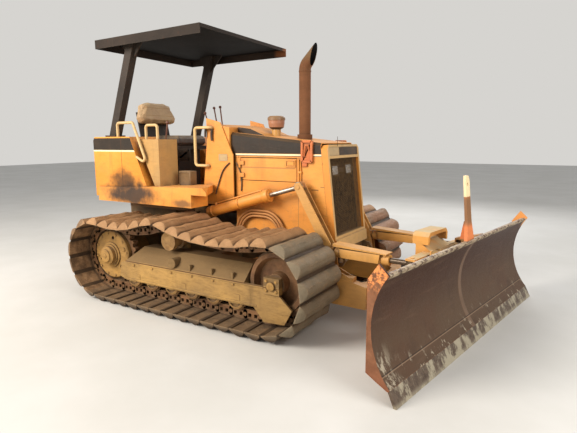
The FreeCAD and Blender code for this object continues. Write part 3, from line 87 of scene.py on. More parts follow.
class Bench:
    """Adds primitives and shapes them in edit mode, as by hand."""

    @staticmethod
    def clear() -> None:
        """Leave edit mode and deselect everything."""
        if bpy.context.object and bpy.context.object.mode != "OBJECT":
            bpy.ops.object.mode_set(mode="OBJECT")
        bpy.ops.object.select_all(action="DESELECT")

    @staticmethod
    def take(piece: Piece) -> None:
        """Select one piece alone and make it active."""
        Bench.clear()
        piece.select_set(True)
        bpy.context.view_layer.objects.active = piece

    @staticmethod
    def settle(piece: Piece, name: str) -> Piece:
        """Put the piece's place into its mesh.

        Args:
            piece: the piece.
            name: its new name.

        Returns:
            The piece, at the origin, unturned and unscaled.
        """
        Bench.take(piece)
        bpy.ops.object.transform_apply(location=True, rotation=True, scale=True)
        piece.name = name
        piece.data.name = name
        return piece

    @staticmethod
    def block(name: str, low: Sequence[float], high: Sequence[float]) -> Piece:
        """Add a box between two corners.

        Args:
            name: the piece's name.
            low: lowest corner in metres.
            high: highest corner in metres.

        Returns:
            The new piece.
        """
        Bench.clear()
        middle = [(a + b) / 2 for a, b in zip(low, high)]
        size = [b - a for a, b in zip(low, high)]
        bpy.ops.mesh.primitive_cube_add(size=1, location=middle, scale=size)
        return Bench.settle(bpy.context.object, name)

    @staticmethod
    def drum(name: str, start: Sequence[float], end: Sequence[float], radius: float,
             sides: int = 24) -> Piece:
        """Add a round bar between two points.

        Args:
            name: the piece's name.
            start: middle of the first end.
            end: middle of the other end.
            radius: its radius.
            sides: how many flats it has.

        Returns:
            The new piece.
        """
        Bench.clear()
        along = Vector(end) - Vector(start)
        turn = along.to_track_quat("Z", "Y").to_euler()
        bpy.ops.mesh.primitive_cylinder_add(vertices=sides, radius=radius, depth=along.length,
                                            location=(Vector(start) + Vector(end)) / 2, rotation=turn)
        return Bench.settle(bpy.context.object, name)

    @staticmethod
    def pick(piece: Piece, kind: str, test: Callable[[Vector, Vector], bool]) -> None:
        """Open the piece in edit mode with only some faces or edges selected.

        Args:
            piece: the piece.
            kind: FACE or EDGE.
            test: says of a middle point and a direction (face normal or edge) whether to select.
        """
        Bench.take(piece)
        mesh = piece.data
        bpy.ops.object.mode_set(mode="EDIT")
        bpy.ops.mesh.select_mode(type=kind)
        bpy.ops.mesh.select_all(action="DESELECT")
        bpy.ops.object.mode_set(mode="OBJECT")
        if kind == "FACE":
            for face in mesh.polygons:
                face.select = bool(test(face.center, face.normal))
        else:
            for edge in mesh.edges:
                a, b = (mesh.vertices[i].co for i in edge.vertices)
                edge.select = bool(test((a + b) / 2, (b - a).normalized()))
        bpy.ops.object.mode_set(mode="EDIT")
        bpy.ops.mesh.select_mode(type=kind)

    @staticmethod
    def done() -> None:
        """Leave edit mode."""
        bpy.ops.object.mode_set(mode="OBJECT")

    @staticmethod
    def bevel(piece: Piece, width: float, segments: int = 2,
              test: Callable[[Vector, Vector], bool] = lambda middle, along: True) -> Piece:
        """Round edges of a piece.

        Args:
            piece: the piece.
            width: how wide the rounding is.
            segments: steps across it.
            test: which edges, by middle and direction.

        Returns:
            The same piece.
        """
        Bench.pick(piece, "EDGE", test)
        bpy.ops.mesh.bevel(offset=width, segments=segments, affect="EDGES")
        Bench.done()
        return piece

    @staticmethod
    def plate(name: str, low: Sequence[float], high: Sequence[float], width: float, axis: str = "",
              segments: int = 2) -> Piece:
        """Add a box with rounded edges.

        Args:
            name: the piece's name.
            low: lowest corner in metres.
            high: highest corner in metres.
            width: how wide the rounding is.
            axis: x, y or z where only the edges along it are rounded.
            segments: steps across the rounding.

        Returns:
            The new piece.
        """
        return Bench.bevel(Bench.block(name, low, high), width, segments,
                           lambda middle, along: not axis or abs(getattr(along, axis)) > FACING)

    @staticmethod
    def finish(piece: Piece, angle: float = 35.0) -> Piece:
        """Smooth the piece's shading below an angle.

        Args:
            piece: the piece.
            angle: faces that meet at less than this many degrees shade smooth.

        Returns:
            The same piece.
        """
        Bench.take(piece)
        bpy.ops.object.shade_smooth_by_angle(angle=math.radians(angle))
        return piece

    @staticmethod
    def modified(piece: Piece, kind: str, **values: object) -> Piece:
        """Apply one modifier to a piece.

        Args:
            piece: the piece.
            kind: the modifier's type.
            values: its settings.

        Returns:
            The same piece.
        """
        Bench.take(piece)
        modifier = piece.modifiers.new(kind.title(), kind)
        for key, value in values.items():
            setattr(modifier, key, value)
        bpy.ops.object.modifier_apply(modifier=modifier.name)
        return piece

    @staticmethod
    def copies(piece: Piece, places: Iterable[Matrix]) -> list[Piece]:
        """Copy a piece, each copy with its own mesh.

        Args:
            piece: the piece that is copied.
            places: a matrix for each copy.

        Returns:
            The copies.
        """
        made = []
        for place in places:
            copy = piece.copy()
            copy.data = piece.data.copy()
            copy.data.transform(place)
            if place.determinant() < 0:
                copy.data.flip_normals()
            bpy.context.scene.collection.objects.link(copy)
            made.append(copy)
        return made

    @staticmethod
    def spread(pattern: Piece, places: Iterable[Matrix]) -> list[Piece]:
        """Copy a pattern piece to its places and remove the pattern.

        Args:
            pattern: the piece that is copied.
            places: a matrix for each copy.

        Returns:
            The copies.
        """
        made = Bench.copies(pattern, places)
        bpy.data.objects.remove(pattern, do_unlink=True)
        return made

    @staticmethod
    def joined(name: str, pieces: Sequence[Piece]) -> Piece:
        """Join pieces into one object.

        Args:
            name: its name.
            pieces: what is joined.

        Returns:
            The joined piece.
        """
        Bench.clear()
        for piece in pieces:
            piece.select_set(True)
        bpy.context.view_layer.objects.active = pieces[0]
        bpy.ops.object.join()
        whole = bpy.context.object
        whole.name = name
        whole.data.name = name
        return whole

    @staticmethod
    def tube(name: str, points: Sequence[Sequence[float]], radius: float) -> Piece:
        """Draw a round tube along a smooth line.

        Args:
            name: the piece's name.
            points: the line's control points.
            radius: the tube's radius.

        Returns:
            The tube as a mesh.
        """
        data = bpy.data.curves.new(name, "CURVE")
        data.dimensions = "3D"
        data.bevel_depth = radius
        data.bevel_resolution = 2
        data.resolution_u = 8
        data.use_fill_caps = True
        line = data.splines.new("NURBS")
        line.points.add(len(points) - 1)
        for knot, place in zip(line.points, points):
            knot.co = (*place, 1.0)
        line.order_u = 3
        line.use_endpoint_u = True
        piece = bpy.data.objects.new(name, data)
        bpy.context.scene.collection.objects.link(piece)
        Bench.take(piece)
        bpy.ops.object.convert(target="MESH")
        return Bench.settle(bpy.context.object, name)

    @staticmethod
    def framed(piece: Piece, facing: Sequence[float], rim: float, depth: float) -> Piece:
        """Sink the middle of one side of a piece and leave a rim.

        Args:
            piece: the piece.
            facing: direction of that side.
            rim: the rim's width.
            depth: how deep the middle sinks.

        Returns:
            The same piece.
        """
        way = Vector(facing)
        Bench.pick(piece, "FACE", lambda middle, normal: normal.dot(way) > FACING)
        bpy.ops.mesh.inset(thickness=rim)
        bpy.ops.mesh.extrude_region_move(TRANSFORM_OT_translate={"value": tuple(-depth * way)})
        Bench.done()
        return piece

    @staticmethod
    def twinned(pieces: Sequence[Piece]) -> list[Piece]:
        """Add each piece's mirror image on the other side of the machine."""
        return [*pieces, *(copy for piece in pieces for copy in Bench.copies(piece, [MIRROR]))]

    @staticmethod
    def ready(piece: Piece, finishes: "Finishes", finish: str, body: Body = Body.MACHINE,
              slot: str = "", angle: float = 35.0) -> Piece:
        """Smooth, dress and mount a finished piece.

        Args:
            piece: the piece.
            finishes: the machine's materials.
            finish: the name of its finish.
            body: what it rides on.
            slot: not used.
            angle: faces that meet at less than this shade smooth.

        Returns:
            The same piece.
        """
        Bench.finish(piece, angle)
        Bench.dress(piece, finishes[finish])
        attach(piece, body.value)
        return piece

    @staticmethod
    def groups(finishes: "Finishes", rows: Iterable[tuple[str, Sequence[Piece], str, str]],
               place: Matrix | None = None, angle: float = 35.0) -> list[Piece]:
        """Join and finish groups of pieces that ride on the machine's body.

        Args:
            finishes: the machine's materials.
            rows: name, pieces, finish and slot of each group.
            place: takes them to their place, where they aren't there yet.
            angle: faces that meet at less than this shade smooth.

        Returns:
            Each group as one piece.
        """
        made = []
        for name, pieces, finish, slot in rows:
            whole = Bench.joined(name, pieces)
            if place is not None:
                whole.data.transform(place)
            made.append(Bench.ready(whole, finishes, finish, Body.MACHINE, slot, angle))
        return made

    @staticmethod
    def dress(piece: Piece, material: bpy.types.Material) -> Piece:
        """Give the whole piece one material."""
        piece.data.materials.clear()
        piece.data.materials.append(material)
        return piece


class Graph:
    """A material's nodes while they are being wired."""

    SHIFTED = (1.0, 1.7, 0.6)  # how far a pattern moves along each axis for one of shift

    def __init__(self, name: str) -> None:
        """Start an empty material of that name."""
        self.material = bpy.data.materials.new(name)
        self.material.use_nodes = True
        self.nodes = self.material.node_tree.nodes
        self.links = self.material.node_tree.links
        self.nodes.clear()
        self.place = self.add("ShaderNodeTexCoord").outputs["Object"]
        self.facing = self.add("ShaderNodeNewGeometry").outputs["Normal"]

    def add(self, kind: str, **values: object) -> bpy.types.Node:
        """Add a node and set its plain properties."""
        node = self.nodes.new(kind)
        for key, value in values.items():
            setattr(node, key, value)
        return node

    def feed(self, socket: Socket, value: object) -> None:
        """Link a socket into another, or set its value or colour."""
        if isinstance(value, bpy.types.NodeSocket):
            self.links.new(value, socket)
        elif isinstance(value, tuple):
            socket.default_value = (*linear(value), 1.0)
        else:
            socket.default_value = value

    def noise(self, scale: float, detail: float = 4.0, rough: float = 0.55,
              stretch: Sequence[float] = (1, 1, 1), shift: float = 0.0, warp: float = 0.0) -> Socket:
        """Add a noise pattern in object space.

        Args:
            scale: how fine it is, in cycles per metre.
            detail: number of finer layers.
            rough: strength of the finer layers.
            stretch: scale along each axis.
            shift: moves the pattern, so that two differ.
            warp: how far it twists.

        Returns:
            The pattern's value.
        """
        mapping = self.add("ShaderNodeMapping")
        mapping.inputs["Scale"].default_value = stretch
        mapping.inputs["Location"].default_value = [shift * share for share in self.SHIFTED]
        self.links.new(self.place, mapping.inputs["Vector"])
        node = self.add("ShaderNodeTexNoise")
        self.links.new(mapping.outputs[0], node.inputs["Vector"])
        node.inputs["Scale"].default_value = scale
        node.inputs["Detail"].default_value = detail
        node.inputs["Roughness"].default_value = rough
        node.inputs["Distortion"].default_value = warp
        return node.outputs["Fac"]

    def ramp(self, value: Socket, low: float, high: float, start: float = 0.0,
             end: float = 1.0) -> Socket:
        """Map a value smoothly from low..high to start..end."""
        node = self.add("ShaderNodeMapRange", interpolation_type="SMOOTHSTEP")
        self.feed(node.inputs["Value"], value)
        for key, number in (("From Min", low), ("From Max", high), ("To Min", start), ("To Max", end)):
            node.inputs[key].default_value = number
        return node.outputs["Result"]

    def maths(self, kind: str, first: object, second: object = 0.0, clamp: bool = False) -> Socket:
        """Combine two values with a math operation."""
        node = self.add("ShaderNodeMath", operation=kind, use_clamp=clamp)
        self.feed(node.inputs[0], first)
        self.feed(node.inputs[1], second)
        return node.outputs[0]

    def both(self, first: object, second: object) -> Socket:
        """Multiply two shares and keep the result within 0..1."""
        return self.maths("MULTIPLY", first, second, True)

    def either(self, first: object, second: object) -> Socket:
        """Take the larger of two shares, kept within 0..1."""
        return self.maths("MAXIMUM", first, second, True)

    def capped(self, first: object, second: object) -> Socket:
        """Add two shares and keep the result within 0..1."""
        return self.maths("ADD", first, second, True)

    def product(self, first: object, second: object) -> Socket:
        """Multiply two values."""
        return self.maths("MULTIPLY", first, second)

    def total(self, first: object, second: object) -> Socket:
        """Add two values."""
        return self.maths("ADD", first, second)

    def less(self, first: object, second: object) -> Socket:
        """Take the second value from the first."""
        return self.maths("SUBTRACT", first, second)

    def size(self, value: object) -> Socket:
        """Give a value without its sign."""
        return self.maths("ABSOLUTE", value)

    def blend(self, share: object, first: object, second: object) -> Socket:
        """Mix two colours by a share."""
        node = self.add("ShaderNodeMix", data_type="RGBA")
        self.feed(node.inputs[0], share)
        self.feed(node.inputs[6], first)
        self.feed(node.inputs[7], second)
        return node.outputs[2]

    def coat(self, colour: object, over: object, *shares: object) -> Socket:
        """Lay a colour over another one.

        Args:
            colour: what lies under it.
            over: the colour that is laid on.
            shares: how far it covers, as factors of one product.

        Returns:
            The new colour.
        """
        share = shares[0]
        for other in shares[1:]:
            share = self.both(share, other)
        return self.blend(share, colour, over)

    def part(self, vector: Socket, axis: str) -> Socket:
        """Give one component of a vector."""
        node = self.add("ShaderNodeSeparateXYZ")
        self.links.new(vector, node.inputs[0])
        return node.outputs[axis]

    def window(self, value: Socket, low: float, high: float, soft: float) -> Socket:
        """Give 1 where a value lies between low and high, with soft ends."""
        above = self.ramp(value, low - soft, low + soft)
        below = self.ramp(value, high - soft, high + soft, 1.0, 0.0)
        return self.both(above, below)

    def blot(self, centre: Sequence[float], reach: Sequence[float], ragged: float = 0.6) -> Socket:
        """Give 1 round a point and 0 beyond its reach, with a ragged edge.

        Args:
            centre: the point.
            reach: how far it spreads along each axis.
            ragged: how uneven its edge is.

        Returns:
            The stain's share.
        """
        mapping = self.add("ShaderNodeMapping")
        mapping.inputs["Location"].default_value = [-c / r for c, r in zip(centre, reach)]
        mapping.inputs["Scale"].default_value = [1 / r for r in reach]
        self.links.new(self.place, mapping.inputs["Vector"])
        length = self.add("ShaderNodeVectorMath", operation="LENGTH")
        self.links.new(mapping.outputs[0], length.inputs[0])
        uneven = self.product(self.less(self.noise(9, 7, 0.62, shift=6), 0.5), ragged * 2)
        return self.ramp(self.total(length.outputs["Value"], uneven), 0.3, 1.02, 1.0, 0.0)

    def marked(self, colour: Socket, bands: Sequence["Band"], blots: Sequence["Blot"]) -> Socket:
        """Lay bands and stains over a colour.

        Args:
            colour: what lies under them.
            bands: painted stripes, seams and painted fold shade.
            blots: stains.

        Returns:
            The new colour.
        """
        if bands:
            across, height = self.part(self.place, "X"), self.part(self.place, "Z")
            side = self.ramp(self.size(self.part(self.facing, "Y")), 0.3, 0.45)
        for band in bands:
            mask = self.window(height, band.low, band.high, band.soft)
            if band.rear > -FAR or band.front < FAR:
                mask = self.both(mask, self.window(across, band.rear, band.front, band.soft))
            if band.sides_only:
                mask = self.both(mask, side)
            colour = self.coat(colour, band.colour, mask, band.strength)
        for blot in blots:
            colour = self.coat(colour, blot.colour, self.blot(blot.centre, blot.reach), blot.strength)
        return colour

    def crevice(self, reach: float) -> Socket:
        """Give 1 in corners and pockets and 0 in the open."""
        node = self.add("ShaderNodeAmbientOcclusion", samples=6)
        node.inputs["Distance"].default_value = reach
        return self.ramp(node.outputs["AO"], 0.35, 0.95, 1.0, 0.0)

    def edge(self, radius: float) -> Socket:
        """Give 1 along sharp outer edges."""
        node = self.add("ShaderNodeBevel", samples=4)
        node.inputs["Radius"].default_value = radius
        dot = self.add("ShaderNodeVectorMath", operation="DOT_PRODUCT")
        self.links.new(node.outputs[0], dot.inputs[0])
        self.links.new(self.facing, dot.inputs[1])
        return self.ramp(dot.outputs["Value"], 0.86, 0.995, 1.0, 0.0)

    def close(self, colour: object, rough: object, height: object = None, depth: float = 0.002,
              metal: object = 0.0, **sockets: float) -> bpy.types.Material:
        """Wire the surface and give the finished material.

        Args:
            colour: base colour.
            rough: roughness.
            height: bump pattern, if any.
            depth: how deep the bump is, in metres.
            metal: how metallic.
            sockets: plain numbers for further sockets of the shader, with _ for spaces.

        Returns:
            The material.
        """
        surface = self.add("ShaderNodeBsdfPrincipled")
        self.feed(surface.inputs["Base Color"], colour)
        self.feed(surface.inputs["Roughness"], rough)
        self.feed(surface.inputs["Metallic"], metal)
        for key, number in sockets.items():
            surface.inputs[key.replace("_", " ")].default_value = number
        if height is not None:
            bump = self.add("ShaderNodeBump")
            bump.inputs["Distance"].default_value = depth
            self.feed(bump.inputs["Height"], height)
            self.links.new(bump.outputs[0], surface.inputs["Normal"])
        out = self.add("ShaderNodeOutputMaterial")
        self.links.new(surface.outputs[0], out.inputs["Surface"])
        return self.material


@dataclass(frozen=True)
class Band:
    """A painted stripe, a dark seam or a line of painted fold shade on a side of a panel."""

    low: float
    high: float
    colour: Colour
    rear: float = -FAR
    front: float = FAR
    sides_only: bool = True
    soft: float = 0.0006
    strength: float = 1.0


@dataclass(frozen=True)
class Blot:
    """A stain with a ragged edge around a place on the machine."""

    centre: tuple[float, float, float]
    reach: tuple[float, float, float]
    colour: Colour
    strength: float = 0.85


@dataclass(frozen=True)
class Weather:
    """How sun, dust, dirt, rust and scraping have marked a surface, with painted shade laid into its
    crevices along with the grime.
    """

    dust: Colour = (188, 144, 96)
    dusted: float = 0.5
    grime_and_shade: Colour = (88, 58, 32)
    grimy_and_shaded: float = 0.75
    rust: Colour = (124, 66, 38)
    rusty: float = 0.3
    bare: Colour = (150, 128, 102)
    worn: float = 0.4
    pitted: float = 0.3
    mottled: float = 0.15


@dataclass(frozen=True)
class Paint:
    """Old machine paint with its bands, fading and weather, with painted shade on its undersides and in
    its crevices.
    """

    name: str
    colour: Colour
    faded: Colour
    weather: Weather = Weather()
    rough: float = 0.48
    bands: tuple[Band, ...] = ()
    blots: tuple[Blot, ...] = ()
    # colour laid on downward faces as painted shade underneath
    under: Colour | None = None
    gloss: float = 0.5
    elbow: tuple[float, float] | None = None

    def soot_and_shade(self, g: Graph, colour: Socket) -> Socket:
        """Blacken the inner wall of a pipe that is bent to 45 degrees at its elbow, as soot and painted
        shade inside it.

        Args:
            g: the material's graph.
            colour: what lies under the soot.

        Returns:
            The new colour.
        """
        x, z = (g.less(g.part(g.place, axis), at) for axis, at in zip("XZ", self.elbow))
        lean = g.less(g.part(g.facing, "X"), g.part(g.facing, "Z"))
        across = g.product(g.part(g.place, "Y"), g.part(g.facing, "Y"))
        inward = g.total(g.product(g.product(g.less(x, z), lean), 0.5), across)
        return g.coat(colour, (14, 11, 9), g.ramp(inward, -0.005, -0.02), g.ramp(z, -0.09, -0.05))

    def made(self) -> bpy.types.Material:
        """Build the material.

        Returns:
            The finished material.
        """
        g = Graph(self.name)
        w = self.weather
        colour = g.blend(g.ramp(g.noise(1.6, 5, 0.6), 0.35, 0.68), self.colour, self.faded)
        colour = g.marked(colour, self.bands, ())
        up = g.part(g.facing, "Z")
        speck = g.noise(160, 3, 0.7, shift=4)
        patch = g.noise(7, 6, 0.62, shift=2)
        streak = g.noise(9, 5, 0.6, (1.0, 1.0, 0.12), 8)
        colour = g.coat(colour, w.grime_and_shade, g.ramp(streak, 0.55, 0.78), 0.45 * w.grimy_and_shaded)
        mottle = g.both(g.ramp(g.noise(12, 9, 0.78, (0.6, 1.0, 2.2), 19), 0.42, 0.68), w.mottled)
        colour = g.blend(mottle, colour, w.grime_and_shade)
        # grime and painted shade laid into crevices, where shade falls
        colour = g.coat(colour, w.grime_and_shade, g.crevice(0.09), g.ramp(patch, 0.25, 0.6), w.grimy_and_shaded)
        settled = g.both(g.ramp(up, 0.35, 0.95), g.ramp(patch, 0.18, 0.62))
        film = g.both(g.ramp(g.noise(3.2, 6, 0.65, shift=11), 0.42, 0.75), 0.35)
        dust = g.both(g.either(settled, film), w.dusted)
        colour = g.blend(dust, colour, w.dust)
        spots = g.both(g.ramp(g.noise(26, 6, 0.7, shift=5), 0.62, 0.7), w.rusty)
        colour = g.blend(spots, colour, w.rust)
        rubbed = g.ramp(g.noise(34, 5, 0.7, shift=3), 0.44, 0.6)
        colour = g.coat(colour, w.bare, g.edge(0.006), rubbed, w.worn)
        scratch = g.ramp(g.noise(60, 3, 0.6, (1.0, 0.25, 0.06), 6, 1.2), 0.66, 0.7)
        colour = g.coat(colour, w.bare, scratch, 0.35 * w.worn)
        dusty = [replace(band, strength=band.strength * 0.6) for band in self.bands]
        colour = g.marked(colour, dusty, self.blots)
        # downward faces painted near black as painted shade underneath
        if self.under:
            colour = g.coat(colour, self.under, g.ramp(up, -0.4, -0.7))
        # inside of the pipe's mouth: soot and painted shade
        if self.elbow:
            colour = self.soot_and_shade(g, colour)
        rough = g.total(self.rough, g.product(dust, 0.35))
        rough = g.capped(rough, g.product(g.less(speck, 0.5), 0.16))
        height = g.total(g.product(speck, 0.12 + 0.25 * w.pitted), g.product(patch, 0.8))
        height = g.total(g.less(height, g.product(spots, 0.3)), mottle)
        return g.close(colour, rough, height, 0.002 + 0.003 * w.pitted,
                       Specular_IOR_Level=self.gloss)


@dataclass(frozen=True)
class Steel:
    """Bare or rusty steel that the ground scours; its bright edges are worn steel and, on thin wire,
    painted highlights.
    """

    name: str
    colour: Colour
    deep: Colour
    bright: Colour
    mud: Colour = (168, 138, 104)
    muddy: float = 0.5
    scoured_and_highlit: float = 0.6
    rough: float = 0.62
    metal: float = 0.25
    grain: float = 1.0
    shadow: float = 0.6
    relief: float = 0.004
    bands: tuple[Band, ...] = ()
    blots: tuple[Blot, ...] = ()

    def made(self) -> bpy.types.Material:
        """Build the material.

        Returns:
            The finished material.
        """
        g = Graph(self.name)
        patch = g.noise(6 * self.grain, 7, 0.66)
        fine = g.noise(70 * self.grain, 5, 0.7, shift=3)
        colour = g.blend(g.ramp(patch, 0.32, 0.66), self.colour, self.deep)
        colour = g.coat(colour, self.deep, g.ramp(fine, 0.5, 0.72), 0.5)
        colour = g.marked(colour, self.bands, self.blots)
        crevice = g.crevice(0.07)
        colour = g.coat(colour, (44, 32, 22), crevice, self.shadow)
        level = g.ramp(g.part(g.facing, "Z"), 0.3, 0.9)
        caked = g.either(g.both(crevice, 0.8), g.both(level, 0.9))
        caked = g.both(caked, g.ramp(g.noise(11 * self.grain, 6, 0.6, shift=7), 0.34, 0.6))
        caked = g.both(caked, self.muddy)
        colour = g.blend(caked, colour, self.mud)
        rubbed = g.ramp(g.noise(28, 5, 0.65, shift=5), 0.3, 0.6)
        # bright edges: scoured wear, and painted highlights on thin wire
        colour = g.coat(colour, self.bright, g.edge(0.01), rubbed, self.scoured_and_highlit)
        varied = g.ramp(fine, 0.2, 0.8, self.rough - 0.12, self.rough + 0.12)
        rough = g.capped(g.product(caked, 0.3), varied)
        height = g.total(g.total(g.product(fine, 0.35), patch), g.product(caked, 0.6))
        return g.close(colour, rough, height, self.relief, self.metal)


@dataclass(frozen=True)
class Moldboard:
    """Blade paint, dark with rust and painted shade on its front, with a worn seam, a pale top and
    scraped marks along its foot.
    """

    name: str
    colour: Colour = (62, 36, 22)
    low: Colour = (90, 69, 50)
    scrape: Colour = (178, 164, 140)
    top: Colour = (172, 154, 126)
    rust: Colour = (178, 104, 62)
    pivot_x: float = 1.79
    angle: float = 10.3
    half: float = 1.355
    crest: tuple[float, float] = (0.772, 0.78)
    bead: tuple[float, float] = (0.171, 0.177)
    lit: tuple[float, float] = (0.165, 0.17)
    line: float = 0.0015

    def along(self, g: Graph) -> Socket:
        """Give how far a point lies along the angled blade, from its middle."""
        turn = math.radians(self.angle)
        x = g.product(g.less(g.part(g.place, "X"), self.pivot_x), math.sin(turn))
        return g.total(x, g.product(g.part(g.place, "Y"), math.cos(turn)))

    def made(self) -> bpy.types.Material:
        """Build the material.

        Returns:
            The finished material.
        """
        g = Graph(self.name)
        height = g.part(g.place, "Z")
        along = self.along(g)
        cloud = g.noise(2.4, 6, 0.6)
        # the front's dark brown is rust and painted shade, paler lower down
        colour = g.blend(g.ramp(height, 0.7, 0.16, 0.0, 0.95), self.colour, self.low)
        colour = g.coat(colour, (84, 50, 32), g.ramp(cloud, 0.4, 0.75), 0.45)
        streak = g.noise(14, 5, 0.6, (1.0, 0.35, 0.16), 4)
        colour = g.coat(colour, (44, 27, 18), g.ramp(streak, 0.5, 0.75), 0.4)
        lengthwise = g.noise(10, 6, 0.62, (0.25, 0.25, 2.2), 14)
        colour = g.coat(colour, (112, 84, 64), g.ramp(lengthwise, 0.55, 0.7), 0.2)
        seam = g.both(g.window(along, -0.06, -0.004, 0.012),
                      g.ramp(g.noise(8, 4, 0.5, shift=21), 0.2, 0.5, 0.5, 0.9))
        colour = g.coat(colour, (122, 96, 76), seam, 0.8)
        scraped = g.both(g.ramp(height, 0.25, 0.1),
                         g.ramp(g.noise(16, 5, 0.75, (1.0, 1.0, 0.35), 12), 0.57, 0.66))
        near = g.both(g.ramp(along, -1.18, -1.33), g.ramp(height, 0.36, 0.2))
        near = g.both(near, g.ramp(g.noise(24, 6, 0.72, (1.0, 1.0, 0.22), 17), 0.46, 0.58))
        colour = g.coat(colour, self.scrape, g.either(scraped, near))
        colour = g.coat(colour, self.top, g.ramp(height, *self.crest),
                        g.ramp(g.noise(20, 5, 0.7, shift=15), 0.4, 0.56),
                        g.window(along, -self.half, self.half, 0.004))
        colour = g.coat(colour, (40, 28, 20), g.window(height, *self.bead, self.line), 0.75)
        colour = g.coat(colour, (156, 128, 102), g.window(height, *self.lit, self.line), 0.6)
        behind = g.ramp(g.part(g.facing, "X"), 0.1, -0.3)
        colour = g.coat(colour, g.blend(cloud, (186, 138, 78), (150, 112, 72)), behind)
        plate = g.blend(g.ramp(g.noise(9, 6, 0.65, shift=31), 0.35, 0.65), (146, 98, 68),
                        (118, 76, 50))
        plate = g.coat(plate, (132, 78, 52), g.ramp(height, 0.3, 0.08, 0.0, 0.6))
        plate = g.coat(plate, (236, 148, 84), g.ramp(height, 0.66, 0.76),
                       g.ramp(g.noise(24, 6, 0.75, shift=9), 0.44, 0.56))
        colour = g.coat(colour, plate, g.ramp(g.size(g.part(g.facing, "Y")), 0.6, 0.85),
                        g.ramp(g.size(along), 1.3, 1.36))
        colour = g.coat(colour, (228, 158, 88), g.ramp(along, 1.3, 1.34),
                        g.ramp(height, 0.7, 0.76))
        colour = g.coat(colour, self.rust, g.edge(0.008),
                        g.ramp(g.noise(30, 5, 0.65, shift=5), 0.4, 0.62), 0.5)
        fine = g.noise(90, 4, 0.7, shift=2)
        rough = g.ramp(fine, 0.2, 0.8, 0.44, 0.64)
        bump = g.total(g.product(fine, 0.2), g.noise(5, 4, 0.5, shift=1))
        bump = g.total(bump, g.product(seam, 0.5))
        return g.close(colour, rough, bump, 0.004, 0.0, Specular_IOR_Level=0.25)


@dataclass(frozen=True)
class ScrapedEdge:
    """Cutting edge, ground bright and grey in patches over brown scale."""

    name: str

    def made(self) -> bpy.types.Material:
        """Build the material.

        Returns:
            The finished material.
        """
        g = Graph(self.name)
        height = g.part(g.place, "Z")
        rough_patch = g.noise(9, 7, 0.72, (1.0, 1.0, 0.3), 2)
        colour = g.blend(g.ramp(g.noise(30, 5, 0.7), 0.4, 0.65), (104, 86, 70), (80, 63, 50))
        bright = g.capped(g.ramp(rough_patch, 0.47, 0.57), g.ramp(height, 0.035, 0.0, 0.0, 0.6))
        colour = g.coat(colour, (184, 172, 146), bright, 0.85)
        fine = g.noise(120, 4, 0.7, (1.0, 1.0, 0.4), 5)
        bump = g.total(g.product(fine, 0.3), rough_patch)
        return g.close(colour, g.ramp(fine, 0.2, 0.8, 0.38, 0.6), bump, 0.004, 0.35)


@dataclass(frozen=True)
class Vinyl:
    """Dusty worn seat vinyl with a fine grain and creases."""

    name: str
    colour: Colour
    faded: Colour

    def made(self) -> bpy.types.Material:
        """Build the material.

        Returns:
            The finished material.
        """
        g = Graph(self.name)
        cell = g.add("ShaderNodeTexVoronoi", feature="DISTANCE_TO_EDGE")
        g.links.new(g.place, cell.inputs["Vector"])
        cell.inputs["Scale"].default_value = 420.0
        grain = g.ramp(cell.outputs["Distance"], 0.0, 0.25)
        patch = g.noise(9, 6, 0.6)
        folds = g.noise(22, 3, 0.5, (1.0, 0.3, 1.0), 3, 1.5)
        crease = g.both(g.ramp(folds, 0.47, 0.5), g.ramp(folds, 0.53, 0.5))
        colour = g.blend(g.ramp(patch, 0.35, 0.7), self.colour, self.faded)
        colour = g.coat(colour, (110, 86, 60), crease, 0.15)
        colour = g.coat(colour, (196, 170, 132), g.ramp(g.part(g.facing, "Z"), 0.3, 0.9),
                        g.ramp(patch, 0.3, 0.6), 0.4)
        bump = g.less(g.product(grain, 0.3), crease)
        return g.close(colour, g.ramp(patch, 0.2, 0.8, 0.45, 0.68), bump, 0.0012)


@dataclass(frozen=True)
class Rubber:
    """Hose cover with its wrapped weave and dust on top."""

    name: str
    colour: Colour
    dust: Colour

    def made(self) -> bpy.types.Material:
        """Build the material.

        Returns:
            The finished material.
        """
        g = Graph(self.name)
        wrap = g.add("ShaderNodeTexWave", bands_direction="DIAGONAL")
        g.links.new(g.place, wrap.inputs["Vector"])
        wrap.inputs["Scale"].default_value = 160.0
        patch = g.noise(12, 6, 0.65)
        colour = g.coat(self.colour, self.dust, g.ramp(g.part(g.facing, "Z"), -0.2, 0.7),
                        g.ramp(patch, 0.25, 0.6))
        bump = g.total(g.product(wrap.outputs["Fac"], 0.4), patch)
        return g.close(colour, g.ramp(patch, 0.2, 0.8, 0.55, 0.8), bump, 0.001)


@dataclass(frozen=True)
class Polished:
    """Chromed piston rod with oily film and fine scratches."""

    name: str
    bright: Colour = (180, 170, 156)
    film: Colour = (122, 100, 80)
    metal: float = 0.9

    def made(self) -> bpy.types.Material:
        """Build the material.

        Returns:
            The finished material.
        """
        g = Graph(self.name)
        film = g.noise(14, 5, 0.6, (0.2, 1.0, 1.0))
        scratch = g.noise(140, 3, 0.6, (0.1, 1.0, 1.0), 3)
        colour = g.blend(g.ramp(film, 0.4, 0.7), self.bright, self.film)
        return g.close(colour, g.ramp(scratch, 0.3, 0.7, 0.26, 0.46), scratch, 0.0004, self.metal)


@dataclass(frozen=True)
class Lens:
    """Dusty lamp glass with moulded ribs, painted near white as a painted reflection."""

    name: str

    def made(self) -> bpy.types.Material:
        """Build the material.

        Returns:
            The finished material.
        """
        g = Graph(self.name)
        rib = g.add("ShaderNodeTexWave", bands_direction="Y")
        g.links.new(g.place, rib.inputs["Vector"])
        rib.inputs["Scale"].default_value = 26.0
        dust = g.ramp(g.noise(18, 6, 0.65), 0.38, 0.7)
        # near white glass stands for a painted reflection in the lamp
        colour = g.blend(dust, (252, 250, 244), (226, 214, 192))
        return g.close(colour, g.ramp(dust, 0.0, 1.0, 0.12, 0.5), rib.outputs["Fac"], Coat_Weight=0.4)


